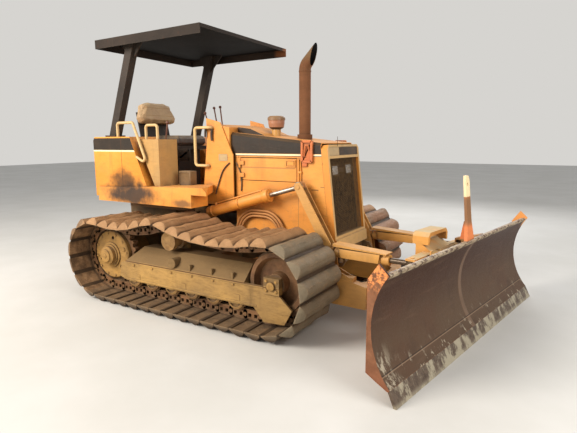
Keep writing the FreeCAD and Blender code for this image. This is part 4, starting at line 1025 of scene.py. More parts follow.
class Finishes:
    """Every finish of the machine, built once and handed out by name."""

    SHADED = Weather(dusted=0.5, grimy_and_shaded=0.75, rusty=0.35, worn=0.5)
    CAKED = Weather(dust=(134, 108, 76), dusted=0.9, grime_and_shade=(72, 52, 34), grimy_and_shaded=1.0, rusty=0.5,
                    worn=0.6, pitted=1.0, mottled=0.34)
    CHARCOAL: Colour = (44, 35, 26)
    CREAM: Colour = (250, 232, 184)
    SEAM: Colour = (84, 50, 26)
    # painted shade along the side panels' folds and in the door's front gap
    FOLD_SHADE: Colour = (190, 126, 56)
    BURNT: Colour = (50, 36, 26)

    def __init__(self) -> None:
        """Build all the materials."""
        yellow, faded = (228, 144, 50), (238, 160, 68)
        under_hood = Band(1.4395, 1.446, self.SEAM)
        hood = (Band(1.4605, 1.72, self.CHARCOAL), Band(1.446, 1.4605, self.CREAM), under_hood)
        tank = (Band(1.492, 1.615, self.CHARCOAL), Band(1.476, 1.492, self.CREAM),
                Band(1.0, 1.63, self.SEAM, -1.006, -1.0))
        panel = (Band(1.446, 1.4605, self.CREAM), under_hood,
                 Band(1.424, 1.4285, self.SEAM, 0.2, 0.93),
                 # the fold lines and the door's front gap below are painted shade
                 Band(1.326, 1.338, self.FOLD_SHADE, 0.262, 0.86, soft=0.003),
                 Band(1.126, 1.133, self.FOLD_SHADE, 0.52, 0.86, soft=0.002),
                 Band(0.6, 1.43, self.FOLD_SHADE, 0.893, 0.9, soft=0.001),
                 Band(1.143, 1.152, self.BURNT, 1.03, 1.1, soft=0.003, strength=0.6),
                 Band(1.172, 1.178, self.BURNT, 1.12, 1.165, soft=0.002, strength=0.5))
        burns = tuple(blot for side in (-1, 1) for blot in (
            Blot((-0.84, side * 0.72, 1.04), (0.5, 0.3, 0.15), self.BURNT, 0.95),
            Blot((-0.98, side * 0.72, 1.16), (0.26, 0.3, 0.17), self.BURNT, 0.85),
            Blot((-0.15, side * 0.735, 0.99), (0.16, 0.06, 0.05), (110, 76, 44), 0.8)))
        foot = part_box("precleaner")[0].z
        grey_front = Band(-1.0, 3.0, (126, 114, 92), 1.1, FAR, False, 0.08, 0.85)
        dusty_top = Band(0.6, 3.0, (190, 142, 94), -1.1, 1.1, False, 0.03, 0.6)
        low_run = Band(-0.02, 0.13, (112, 94, 72), -1.1, 1.2, False, 0.02, 0.7)
        rusted = Weather(dust=(156, 120, 88), dusted=0.3, grime_and_shade=(40, 30, 22), grimy_and_shaded=0.8,
                         rust=(152, 98, 64), rusty=0.6, worn=0.25, pitted=0.9)
        made = [
            Paint("yellow_paint", yellow, faded, blots=burns),
            Paint("panel_paint", yellow, faded, bands=panel),
            Paint("hood_paint", yellow, faded, bands=hood, gloss=0.3),
            Paint("tank_paint", yellow, faded, bands=tank, blots=burns, gloss=0.3),
            Paint("frame_paint", (190, 148, 84), (156, 122, 74), self.CAKED, 0.7, gloss=0.25,
                  bands=(Band(0.42, 0.56, (124, 98, 64), sides_only=False, soft=0.006, strength=0.75),
                         Band(0.409, 0.415, self.SEAM, soft=0.001))),
            Paint("hull_paint", (134, 104, 62), (112, 86, 54),
                  Weather(dust=(132, 104, 72), dusted=0.7, grime_and_shade=(52, 38, 26), grimy_and_shaded=0.95, rusty=0.5,
                          worn=0.3, pitted=0.8), 0.68),
            Paint("guard_paint", (222, 160, 76), (204, 150, 80), self.SHADED, 0.55),
            # sides painted full yellow as painted light, front faces pale as painted shade, on one
            # paint
            Paint("brow_paint", (214, 170, 104), (198, 160, 104), self.SHADED, 0.5,
                  bands=(Band(0.0, 3.0, yellow, strength=0.9),)),
            Paint("yoke_paint", (232, 164, 74), (218, 156, 80),
                  Weather(dust=(200, 176, 134), dusted=1.0, grimy_and_shaded=0.8, rusty=0.4), 0.55),
            Paint("pale_trim", (222, 186, 124), (204, 172, 120), self.SHADED, 0.5),
            # its underside is painted near black as painted shade under the roof
            Paint("canopy_paint", (46, 39, 34), (58, 48, 41),
                  Weather(dust=(84, 72, 60), dusted=0.35, grime_and_shade=(30, 24, 20), grimy_and_shaded=0.5, rusty=0.25,
                          worn=0.3), 0.72, under=(14, 11, 9), gloss=0.15,
                  blots=(Blot((0.11, 0.70, 2.56), (0.16, 0.09, 0.08), (138, 86, 52)),)),
            Paint("black_paint", (44, 37, 32), (60, 50, 42),
                  Weather(dust=(112, 92, 70), dusted=0.3, grime_and_shade=(26, 20, 16), grimy_and_shaded=0.5, rusty=0.3,
                          worn=0.3), 0.65, gloss=0.25),
            Paint("console_paint", (196, 148, 80), (176, 138, 82), self.SHADED, 0.6),
            Paint("drum_paint", (192, 146, 78), (168, 128, 72), self.CAKED, 0.7, gloss=0.25),
            Paint("exhaust_rust", (132, 86, 56), (110, 72, 46), rusted, 0.85, gloss=0.2,
                  elbow=(0.772, 2.277),
                  blots=(Blot((0.82, 0.0, 2.44), (0.25, 0.25, 0.19), (112, 88, 60)),)),
            Paint("bowl_red", (160, 104, 76), (176, 124, 92),
                  Weather(dusted=0.5, grimy_and_shaded=0.5, rusty=0.0, worn=0.1), 0.4,
                  bands=(Band(foot - 0.1, foot + 0.09, (200, 150, 76), sides_only=False),
                         Band(foot + 0.09, foot + 0.112, (58, 44, 32), sides_only=False, soft=0.002),
                         Band(foot + 0.18, foot + 0.3, (138, 106, 74), sides_only=False, soft=0.002))),
            Paint("lever_red", (104, 50, 38), (84, 44, 36), self.SHADED, 0.5),
            Paint("bracket_orange", (214, 118, 56), (196, 104, 54),
                  Weather(rust=(150, 74, 44), rusty=0.8, worn=0.6, grimy_and_shaded=0.8, pitted=0.6), 0.6),
            Paint("marker_orange", (222, 124, 62), (206, 112, 62),
                  Weather(rust=(140, 72, 40), rusty=0.6, worn=0.5, grimy_and_shaded=0.5, dusted=0.3,
                          pitted=0.6), 0.6,
                  blots=(Blot((2.53, 0.0, 1.02), (0.2, 0.3, 0.07), (226, 164, 72), 0.8),),
                  bands=(Band(0.93, 1.14, (132, 88, 46), sides_only=False, soft=0.03, strength=0.95),
                         Band(1.14, 1.4, (244, 218, 168), sides_only=False, soft=0.004))),
            Paint("blank_plate", (190, 160, 112), (178, 150, 108), self.SHADED, 0.45),
            Paint("dark_plate", self.CHARCOAL, (58, 48, 38), gloss=0.3),
            Steel("track_steel", (166, 130, 92), (96, 70, 46), (190, 158, 118),
                  mud=(172, 132, 90), scoured_and_highlit=0.7, shadow=1.0, relief=0.02, grain=1.7,
                  muddy=0.22, bands=(grey_front, low_run, dusty_top),
                  blots=(Blot((1.3, 0.85, 0.5), (0.5, 0.6, 0.7), (160, 112, 80), 0.8),)),
            # rust made darker as painted shade in the gaps between shoes
            Steel("tongue_rust_and_shade", (72, 54, 36), (50, 38, 26), (120, 96, 68),
                  mud=(110, 84, 56), muddy=0.3, scoured_and_highlit=0.3),
            Steel("chain_rust", (146, 104, 66), (96, 64, 40), (184, 144, 100), muddy=0.5),
            Steel("roller_steel", (186, 144, 88), (128, 94, 58), (206, 172, 124), muddy=0.4),
            Steel("engine_grey", (92, 82, 70), (64, 56, 48), (120, 108, 92), muddy=0.4),
            # its bright edges are painted highlights on the wires
            Steel("mesh_dark", (50, 38, 26), (34, 26, 18), (136, 104, 64), scoured_and_highlit=0.8),
            # near black as painted shade behind the grille, over the radiator core's dark paint
            Steel("baffle_dark", (28, 21, 14), (18, 14, 10), (50, 38, 26),
                  scoured_and_highlit=0.3, muddy=0.1),
            # the blade's dark front is rust and painted shade
            Moldboard("blade_rust"),
            ScrapedEdge("edge_steel"),
            Vinyl("vinyl_tan", (174, 140, 100), (194, 162, 120)),
            # dark vinyl whose darkness is partly painted shade under the canopy
            Vinyl("vinyl_dark", (62, 48, 38), (84, 66, 52)),
            Rubber("hose_black", (52, 42, 34), (150, 116, 78)),
            Rubber("hose_tan", (176, 116, 60), (206, 146, 84)),
            Rubber("boot_grey", (70, 68, 70), (112, 104, 96)),
            Polished("chrome_rod"),
            Polished("dull_rod", (112, 94, 74), (76, 60, 44), 0.5),
            Lens("lamp_white"),
        ]
        self.all = {finish.name: finish.made() for finish in made}

    def __getitem__(self, name: str) -> bpy.types.Material:
        """Give a material by its name."""
        return self.all[name]


FINISH_NODES = {
    "hull_paint": "main_frame",
    "frame_paint": "track_frames tilt_cylinder",
    "chain_rust": "sprockets idlers",
    "drum_paint": "final_drives",
    "roller_steel": "rollers",
    "engine_grey": "engine",
    "baffle_dark": "radiator",
    "hood_paint": "hood",
    "panel_paint": "side_panels door_right door_left",
    "brow_paint": "radiator_guard",
    "mesh_dark": "grille",
    "lamp_white": "lamps",
    "exhaust_rust": "exhaust",
    "bowl_red": "precleaner",
    "yellow_paint": "cowl platform lift_cylinders",
    "tank_paint": "rear_body",
    "black_paint": "seat_base rops_posts",
    "console_paint": "consoles",
    "lever_red": "controls",
    "pale_trim": "handrails",
    "canopy_paint": "canopy",
    "hose_tan": "hoses",
    "guard_paint": "c_frame angle_cylinder_right angle_cylinder_left",
    "yoke_paint": "yoke",
    "blade_rust": "blade",
    "edge_steel": "cutting_edge",
    "marker_orange": "marker_post",
    "chrome_rod": "lift_rods",
    "dull_rod": "angle_rod_right angle_rod_left tilt_rod",
    "track_steel": "track_right track_left",
    "vinyl_dark": "seat_cushion",
    "vinyl_tan": "seat_back",
}


@dataclass
class TrackLoop:
    """The line of a track's pins: round the idler, over the carrier roller and round the sprocket."""

    sprocket_x: float = -1.005
    idler_x: float = 1.015
    axle_z: float = 0.43
    radius: float = 0.315
    carrier: tuple[float, float] = (-0.185, 0.655)
    over_carrier: float = 0.156
    front_sag: float = 1.9
    rear_sag: float = 1.15
    count: int = 39
    shift: float = -0.006

    @staticmethod
    def sag(right: Sequence[float], right_radius: float, left: Sequence[float], left_radius: float,
            sag: float) -> tuple[float, float]:
        """Find the centre of the arc that hangs between two round bodies.

        Args:
            right: centre of the body in front.
            right_radius: its radius.
            left: centre of the body behind.
            left_radius: its radius.
            sag: the arc's radius.

        Returns:
            The arc's centre, above the run.
        """
        to_right, to_left = right_radius + sag, left_radius + sag
        span_x, span_z = left[0] - right[0], left[1] - right[1]
        span = math.hypot(span_x, span_z)
        along = (to_right ** 2 - to_left ** 2 + span ** 2) / (2 * span)
        across = math.sqrt(to_right ** 2 - along ** 2)
        return (right[0] + (span_x * along + span_z * across) / span,
                right[1] + (span_z * along - span_x * across) / span)

    def arcs(self) -> list[tuple[tuple[float, float], float, float, float]]:
        """List the arcs after the ground run as centre, radius, start and end angle."""
        def bearing(centre: Sequence[float], target: Sequence[float]) -> float:
            """Give the angle from one point to another."""
            return math.atan2(target[1] - centre[1], target[0] - centre[0])

        sprocket, idler = (self.sprocket_x, self.axle_z), (self.idler_x, self.axle_z)
        front = self.sag(idler, self.radius, self.carrier, self.over_carrier, self.front_sag)
        rear = self.sag(self.carrier, self.over_carrier, sprocket, self.radius, self.rear_sag)
        return [
            (idler, self.radius, -math.pi / 2, bearing(idler, front)),
            (front, self.front_sag, bearing(front, idler), bearing(front, self.carrier)),
            (self.carrier, self.over_carrier, bearing(self.carrier, front),
             bearing(self.carrier, rear)),
            (rear, self.rear_sag, bearing(rear, self.carrier), bearing(rear, sprocket)),
            (sprocket, self.radius, bearing(sprocket, rear), 3 * math.pi / 2),
        ]

    def length(self) -> float:
        """Give the loop's length."""
        return self.idler_x - self.sprocket_x + sum(r * abs(b - a) for _, r, a, b in self.arcs())

    def pitch(self) -> float:
        """Give the distance from pin to pin along the loop."""
        return self.length() / self.count

    def point(self, distance: float) -> tuple[float, float]:
        """Give the (x, z) point at a distance along the loop from below the sprocket."""
        left = distance % self.length()
        if left <= self.idler_x - self.sprocket_x:
            return (self.sprocket_x + left, self.axle_z - self.radius)
        left -= self.idler_x - self.sprocket_x
        for centre, radius, start, end in self.arcs():
            run = radius * abs(end - start)
            if left <= run:
                angle = start + (end - start) * left / run
                return (centre[0] + radius * math.cos(angle), centre[1] + radius * math.sin(angle))
            left -= run
        return (self.sprocket_x, self.axle_z - self.radius)

    def pins(self) -> list[tuple[float, float]]:
        """Give every pin's (x, z)."""
        return [self.point(self.shift + self.pitch() * index) for index in range(self.count)]

    def places(self, y: float) -> list[Matrix]:
        """Give each link's place on the loop.

        Args:
            y: the track's middle line.

        Returns:
            Matrices that take a level link from the origin to its place.
        """
        pins = self.pins()
        made = []
        for start, end in zip(pins, pins[1:] + pins[:1]):
            slope = math.atan2(end[1] - start[1], end[0] - start[0])
            middle = Vector(((start[0] + end[0]) / 2, y, (start[1] + end[1]) / 2))
            made.append(Matrix.Translation(middle) @ Matrix.Rotation(-slope, 4, "Y"))
        return made


@dataclass
class SwampTrack:
    """One track: hollow-looking triangular shoes bolted to a chain of links, pins and bushings."""

    side: int
    gauge: float = 1.651
    shoe_width: float = 0.635
    shoe_height: float = 0.07
    shoe_gap: float = 0.007
    lip: float = 0.013
    ridge: float = 0.036
    overlap: float = 0.034
    link_half: float = 0.045
    rail_inner: float = 0.042
    rail_outer: float = 0.080
    shoulder: float = 0.7
    shoulder_share: float = 0.55
    slope: float = 0.015
    loop: TrackLoop = field(default_factory=TrackLoop)

    def shoe(self) -> Piece:
        """Shape one shoe: a plate whose foot is drawn out to a rounded ridge with sloped ends.

        Returns:
            The shoe under a level link at the origin.
        """
        half = (self.loop.pitch() - self.shoe_gap) / 2
        top, end = -self.link_half, self.shoe_width / 2
        low, foot = top - self.lip, top - self.shoe_height
        shoe = Bench.block("shoe", (-half, -end, low), (half, end, top))
        Bench.pick(shoe, "FACE", lambda middle, normal: normal.z < -FACING)
        drop = self.shoe_height - self.lip
        tip = self.ridge / half / 2
        for share, width in ((self.shoulder_share, self.shoulder),
                             (1 - self.shoulder_share, tip / self.shoulder)):
            bpy.ops.mesh.extrude_region_move(TRANSFORM_OT_translate={"value": (0, 0, -drop * share)})
            bpy.ops.transform.resize(value=(width, (end - self.slope) / end, 1),
                                     center_override=(0, 0, low))
        Bench.done()
        Bench.bevel(shoe, 0.013, 4,
                    lambda middle, along: middle.z < foot + 0.004 and abs(along.y) > FACING)
        Bench.bevel(shoe, 0.004, 2, lambda middle, along: foot + 0.002 < middle.z < low - 0.004)
        Bench.pick(shoe, "EDGE", lambda middle, along: abs(along.y) > FACING)
        bpy.ops.mesh.subdivide(number_cuts=9)
        Bench.done()
        return shoe

    def tongue(self) -> Piece:
        """Shape the thin lip that reaches from one shoe under the next.

        Returns:
            The lip under a level link at the origin.
        """
        half = (self.loop.pitch() - self.shoe_gap) / 2
        top, end = -self.link_half, self.shoe_width / 2 - 0.004
        lip = Bench.block("tongue", (half - 0.012, -end, top - 0.004),
                          (half + self.overlap, end, top))
        Bench.pick(lip, "FACE", lambda middle, normal: normal.x > FACING)
        bpy.ops.transform.translate(value=(0, 0, 0.009))
        Bench.done()
        return lip

    def worn(self, shoes: list[Piece], seed: int) -> None:
        """Dent and wear each shoe's ridge a little differently.

        Args:
            shoes: level shoes that aren't placed yet.
            seed: start of the random numbers.
        """
        dice = random.Random(seed)
        low = -self.link_half - self.lip
        for shoe in shoes:
            phase, amount = dice.uniform(0, 6.3), dice.uniform(0.003, 0.009)
            for vertex in shoe.data.vertices:
                y = vertex.co.y
                depth = max(0.0, low - vertex.co.z) / (self.shoe_height - self.lip)
                wave = math.sin(y * 21 + phase) + 0.6 * math.sin(y * 47 + phase * 2)
                vertex.co.z += depth * (amount * (1 + 0.6 * wave))
                vertex.co.x += (depth * 0.006 * math.sin(y * 33 + phase)
                                + depth * dice.uniform(-0.003, 0.003))

    def link(self) -> Piece:
        """Shape one side bar with its two bolt windows and overlapping ends.

        Returns:
            The bar on the outer side of a level link at the origin.
        """
        pitch = self.loop.pitch()
        low, high = -self.link_half - 0.001, self.link_half - 0.001
        inner, outer = self.rail_inner + 0.001, self.rail_outer - 0.001
        bar = Bench.block("link", (-pitch / 2 - 0.022, inner, low), (pitch / 2 + 0.022, outer, high))
        Bench.bevel(bar, 0.024, 3,
                    lambda middle, along: abs(along.y) > FACING and abs(middle.x) > 0.05)
        Bench.take(bar)
        bpy.ops.object.mode_set(mode="EDIT")
        for x in (-0.048, -0.014, 0.014, 0.048):
            bpy.ops.mesh.select_all(action="SELECT")
            bpy.ops.mesh.bisect(plane_co=(x, 0, 0), plane_no=(1, 0, 0))
        for z in (-0.024, 0.012):
            bpy.ops.mesh.select_all(action="SELECT")
            bpy.ops.mesh.bisect(plane_co=(0, 0, z), plane_no=(0, 0, 1))
        Bench.done()
        for x in (-0.031, 0.031):
            Bench.pick(bar, "FACE", lambda middle, normal: (
                abs(normal.y) > FACING and abs(middle.x - x) < 0.016 and abs(middle.z + 0.006) < 0.017))
            bpy.ops.mesh.bridge_edge_loops()
            Bench.done()
        return bar

    def build(self, finishes: Finishes) -> list[Piece]:
        """Place the shoes and the chain in the loop.

        Args:
            finishes: the machine's materials.

        Returns:
            The shoes and the chain, which together stand for the track.
        """
        name = "right" if self.side < 0 else "left"
        places = self.loop.places(self.side * self.gauge / 2)
        shoes = Bench.spread(self.shoe(), [Matrix.Identity(4)] * self.loop.count)
        self.worn(shoes, 11 + self.side)
        for shoe, place in zip(shoes, places):
            shoe.data.transform(place)
        chain = Bench.spread(self.link(), [*places, *(place @ MIRROR for place in places)])
        for kind, reach, radius, sides in (("bushing", self.rail_outer + 0.006, 0.017, 14),
                                           ("sleeve", self.rail_inner, 0.029, 16)):
            x = -self.loop.pitch() / 2
            bar = Bench.drum(kind, (x, -reach, 0), (x, reach, 0), radius, sides)
            chain += Bench.spread(bar, places)
        x, y, z = 0.03, 0.061, -self.link_half
        corners = [Matrix.Diagonal((a, b, 1, 1)) for a in (1, -1) for b in (1, -1)]
        chain += Bench.spread(Bench.drum("shoe_bolt", (x, y, z), (x, y, z + 0.018), 0.014, 6),
                              [place @ corner for corner in corners for place in places])
        tongues = Bench.spread(self.tongue(), places)
        made = Bench.groups(finishes, (
            ("shoes_" + name, shoes, "track_steel", "track_steel"),
            ("chain_" + name, chain, "chain_rust", "chain_rust"),
            ("tongues_" + name, tongues, "tongue_rust_and_shade", "chain_rust")), angle=40)
        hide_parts("track_" + name)
        return made


@dataclass
class GrilleMesh:
    """Woven diagonal wire in the grille's frame, leaned back with it."""

    foot: tuple[float, float] = (1.273, 0.713)
    lean: float = 6.37
    half: float = 0.309
    low: float = 0.026
    high: float = 0.716
    depth: float = -0.025
    pitch: float = 0.0155
    wire: float = 0.004

    def leaned(self) -> Matrix:
        """Give the matrix that leans an upright piece back at the grille's foot."""
        turn = Matrix.Rotation(-math.radians(self.lean), 4, "Y")
        return Matrix.Translation((self.foot[0], 0, self.foot[1])) @ turn

    def build(self, finishes: Finishes) -> list[Piece]:
        """Cut a diagonal lattice to the opening.

        Args:
            finishes: the machine's materials.

        Returns:
            The mesh, which stands for the CAD grille.
        """
        Bench.clear()
        reach = 1.15
        steps = int(reach / self.pitch)
        bpy.ops.mesh.primitive_grid_add(x_subdivisions=steps, y_subdivisions=steps, size=reach,
                                        location=(0, 0, 0), rotation=(0, 0, math.radians(45)))
        mesh = Bench.settle(bpy.context.object, "grille_mesh")
        bpy.ops.object.mode_set(mode="EDIT")
        middle = (self.low + self.high) / 2
        tall = (self.high - self.low) / 2 - 0.004
        wide = self.half - 0.004
        for point, normal in (((wide, 0, 0), (1, 0, 0)), ((-wide, 0, 0), (-1, 0, 0)),
                              ((0, tall, 0), (0, 1, 0)), ((0, -tall, 0), (0, -1, 0))):
            bpy.ops.mesh.select_all(action="SELECT")
            bpy.ops.mesh.bisect(plane_co=point, plane_no=normal, clear_outer=True)
        Bench.done()
        Bench.modified(mesh, "WIREFRAME", thickness=self.wire, use_boundary=True,
                       use_even_offset=False)
        upright = Matrix(((0, 0, 1, self.depth), (1, 0, 0, 0), (0, 1, 0, middle), (0, 0, 0, 1)))
        mesh.data.transform(self.leaned() @ upright)
        Bench.dress(mesh, finishes["mesh_dark"])
        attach(mesh, Body.MACHINE.value)
        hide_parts("grille")
        return [mesh]


@dataclass
class Lamps:
    """Two square lamps with rims and bulged lenses on a bar behind the mesh."""

    grille: GrilleMesh
    inner: float = 0.070
    outer: float = 0.215
    low: float = 0.56
    high: float = 0.66
    rim: float = 0.012
    bulge: float = 0.006

    def build(self, finishes: Finishes) -> list[Piece]:
        """Model a lamp's rim and lens and set both pairs in place.

        Args:
            finishes: the machine's materials.

        Returns:
            The lenses and their housings.
        """
        lenses, rims = [], []
        for side in (-1, 1):
            y0, y1 = sorted((side * self.inner, side * self.outer))
            rim = Bench.plate("rim", (-0.058, y0, self.low), (-0.036, y1, self.high), 0.012, "x", 3)
            rims.append(Bench.framed(rim, (1, 0, 0), 0.011, 0.008))
            lens = Bench.plate("lens", (-0.05, y0 + self.rim, self.low + self.rim),
                               (-0.042, y1 - self.rim, self.high - self.rim), 0.01, "x", 3)
            Bench.pick(lens, "FACE", lambda middle, normal: normal.x > FACING)
            bpy.ops.mesh.inset(thickness=self.rim)
            bpy.ops.transform.translate(value=(self.bulge, 0, 0))
            Bench.done()
            lenses.append(lens)
        rims.append(Bench.plate("bar", (-0.061, -0.308, 0.59), (-0.0565, 0.308, 0.63), 0.001))
        made = Bench.groups(finishes, (
            ("lamp_lenses", lenses, "lamp_white", "lamp_white"),
            ("lamp_rims", rims, "mesh_dark", "mesh_dark")), self.grille.leaned())
        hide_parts("lamps")
        return made


@dataclass
class Cushion:
    """A stuffed seat pad, blown up as cloth from its solid and sewn along its edge."""

    node: str
    inset: float = 0.012
    cap: float = 0.016
    pressure: float = 4.0
    voxel: float = 0.0075
    tilt: float = 0.0
    pivot: tuple[float, float, float] = (0.0, 0.0, 0.0)
    finish: str = "vinyl_tan"
    frames: int = 20
    channels: tuple[float, float] = (-0.36, 0.36)

    def build(self, finishes: Finishes) -> list[Piece]:
        """Shrink a copy of the solid, let cloth pressure swell it and cap how far it moves.

        Args:
            finishes: the machine's materials.

        Returns:
            The cushion, which stands for its CAD node.
        """
        low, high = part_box(self.node)
        source = bpy.data.objects.get(self.node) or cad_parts[self.node]
        pad = source.copy()
        pad.data = source.data.copy()
        for key in list(pad.keys()):
            del pad[key]
        pad.parent = None
        pad.matrix_world = Matrix.Identity(4)
        pad.hide_render = pad.hide_viewport = False
        bpy.context.scene.collection.objects.link(pad)
        pad.name = self.node + "_pad"
        pad.data.name = pad.name
        middle = (low + high) / 2
        size = high - low
        pad.data.transform(Matrix.Translation(middle)
                           @ Matrix.Diagonal((*[1 - 2 * self.inset / s for s in size], 1))
                           @ Matrix.Translation(-middle))
        Bench.take(pad)
        bpy.ops.object.mode_set(mode="EDIT")
        bpy.ops.mesh.select_all(action="SELECT")
        bpy.ops.mesh.remove_doubles(threshold=0.0002)
        bpy.ops.mesh.normals_make_consistent(inside=False)
        Bench.done()
        pad.data.materials.clear()
        pad.data.remesh_voxel_size = self.voxel
        bpy.ops.object.voxel_remesh()
        self.swell(pad)
        Bench.modified(pad, "SUBSURF", levels=1, render_levels=1)
        self.sew(pad)
        Bench.take(pad)
        bpy.ops.object.shade_smooth()
        Bench.dress(pad, finishes[self.finish])
        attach(pad, Body.MACHINE.value)
        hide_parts(self.node)
        return [pad]

    def swell(self, pad: Piece) -> None:
        """Run the cloth, cap each point's travel and apply the result."""
        rest = [vertex.co.copy() for vertex in pad.data.vertices]
        cloth = pad.modifiers.new("Cloth", "CLOTH")
        cloth.settings.use_pressure = True
        cloth.settings.uniform_pressure_force = self.pressure
        cloth.settings.effector_weights.gravity = 0.0
        cloth.settings.quality = 4
        cloth.point_cache.frame_start, cloth.point_cache.frame_end = 1, self.frames
        scene = bpy.context.scene
        for number in range(1, self.frames + 1):
            scene.frame_set(number)
        Bench.take(pad)
        bpy.ops.object.modifier_apply(modifier=cloth.name)
        scene.frame_set(1)
        for vertex, start in zip(pad.data.vertices, rest):
            travel = vertex.co - start
            if travel.length > self.cap:
                vertex.co = start + travel.normalized() * self.cap

    def sew(self, pad: Piece) -> None:
        """Press sewn channels across the pad and a piped seam round its edge."""
        upright = Matrix.Rotation(math.radians(self.tilt), 4, "Y")
        back = upright @ Matrix.Translation(-Vector(self.pivot))
        corners = [back @ vertex.co for vertex in pad.data.vertices]
        least = Vector(min(point[axis] for point in corners) for axis in range(3))
        most = Vector(max(point[axis] for point in corners) for axis in range(3))
        thin = min(range(3), key=lambda axis: (most - least)[axis])
        other = [axis for axis in range(3) if axis != thin]
        middle, half = (least + most) / 2, (most - least) / 2
        forward = back.inverted().to_3x3()
        normals = [vertex.normal.copy() for vertex in pad.data.vertices]
        for vertex, local, outward in zip(pad.data.vertices, corners, normals):
            u = [(local[axis] - middle[axis]) / half[axis] for axis in other]
            away = (local[thin] - middle[thin]) / half[thin]
            press = 0.0
            for line in self.channels:
                press += 0.005 * math.exp(-((u[1] - line) / 0.035) ** 2)
            press *= abs(away)
            edge = max(abs(u[0]), abs(u[1])) ** 4
            seam = 0.004 * math.exp(-((abs(away) - 0.62) / 0.08) ** 2) * edge
            move = Vector((0, 0, 0))
            move[thin] = -math.copysign(press, away)
            vertex.co += forward @ move - seam * outward


@dataclass
class Baffle:
    """Dark box of sheet behind the mesh, its near-black colour painted shade inside the grille, with a
    finned core at its rear.
    """

    grille: GrilleMesh
    rear: float = -0.13
    front: float = -0.066
    fins: int = 40

    def build(self, finishes: Finishes) -> list[Piece]:
        """Build the core's fins and the four walls round it.

        Args:
            finishes: the machine's materials.

        Returns:
            The core and its walls as one piece.
        """
        wide, low, high = self.grille.half - 0.002, self.grille.low - 0.012, self.grille.high + 0.01
        sheet = 0.004
        parts = [Bench.plate("core", (self.rear, -wide, low), (self.rear + 0.01, wide, high), 0.002)]
        for y0, y1, z0, z1 in ((-wide, sheet - wide, low, high), (wide - sheet, wide, low, high),
                               (-wide, wide, low, low + sheet), (-wide, wide, high - sheet, high)):
            wall = (self.rear, y0, z0), (self.front, y1, z1)
            parts.append(Bench.plate("wall", *wall, 0.001, segments=1))
        fin = Bench.block("fin", (self.rear + 0.008, -0.002, low), (self.rear + 0.03, 0.002, high))
        step = 2 * wide / self.fins
        parts += Bench.spread(fin, [Matrix.Translation((0, -wide + step * (index + 0.5), 0))
                                    for index in range(self.fins)])
        return Bench.groups(finishes, (("radiator_core", parts, "baffle_dark", "mesh_dark"),),
                            self.grille.leaned())


@dataclass
class BrowPlates:
    """Two blank plates in the recess above the mesh: a pale one and a long dark one."""

    grille: GrilleMesh
    low: float = 0.743
    high: float = 0.815

    def build(self, finishes: Finishes) -> list[Piece]:
        """Set both plates in the recess and lean them with the frame.

        Args:
            finishes: the machine's materials.

        Returns:
            The pale plate and the dark one.
        """
        rows = []
        for name, y0, y1, finish, slot in (
                ("brow_plate_pale", -0.302, -0.104, "blank_plate", "pale_trim"),
                ("brow_plate_dark", -0.1, 0.302, "dark_plate", "black_paint")):
            plate = Bench.plate(name, (-0.006, y0, self.low), (-0.0015, y1, self.high), 0.006, "x")
            rows.append((name, [Bench.framed(plate, (1, 0, 0), 0.004, 0.0008)], finish, slot))
        return Bench.groups(finishes, rows, self.grille.leaned())


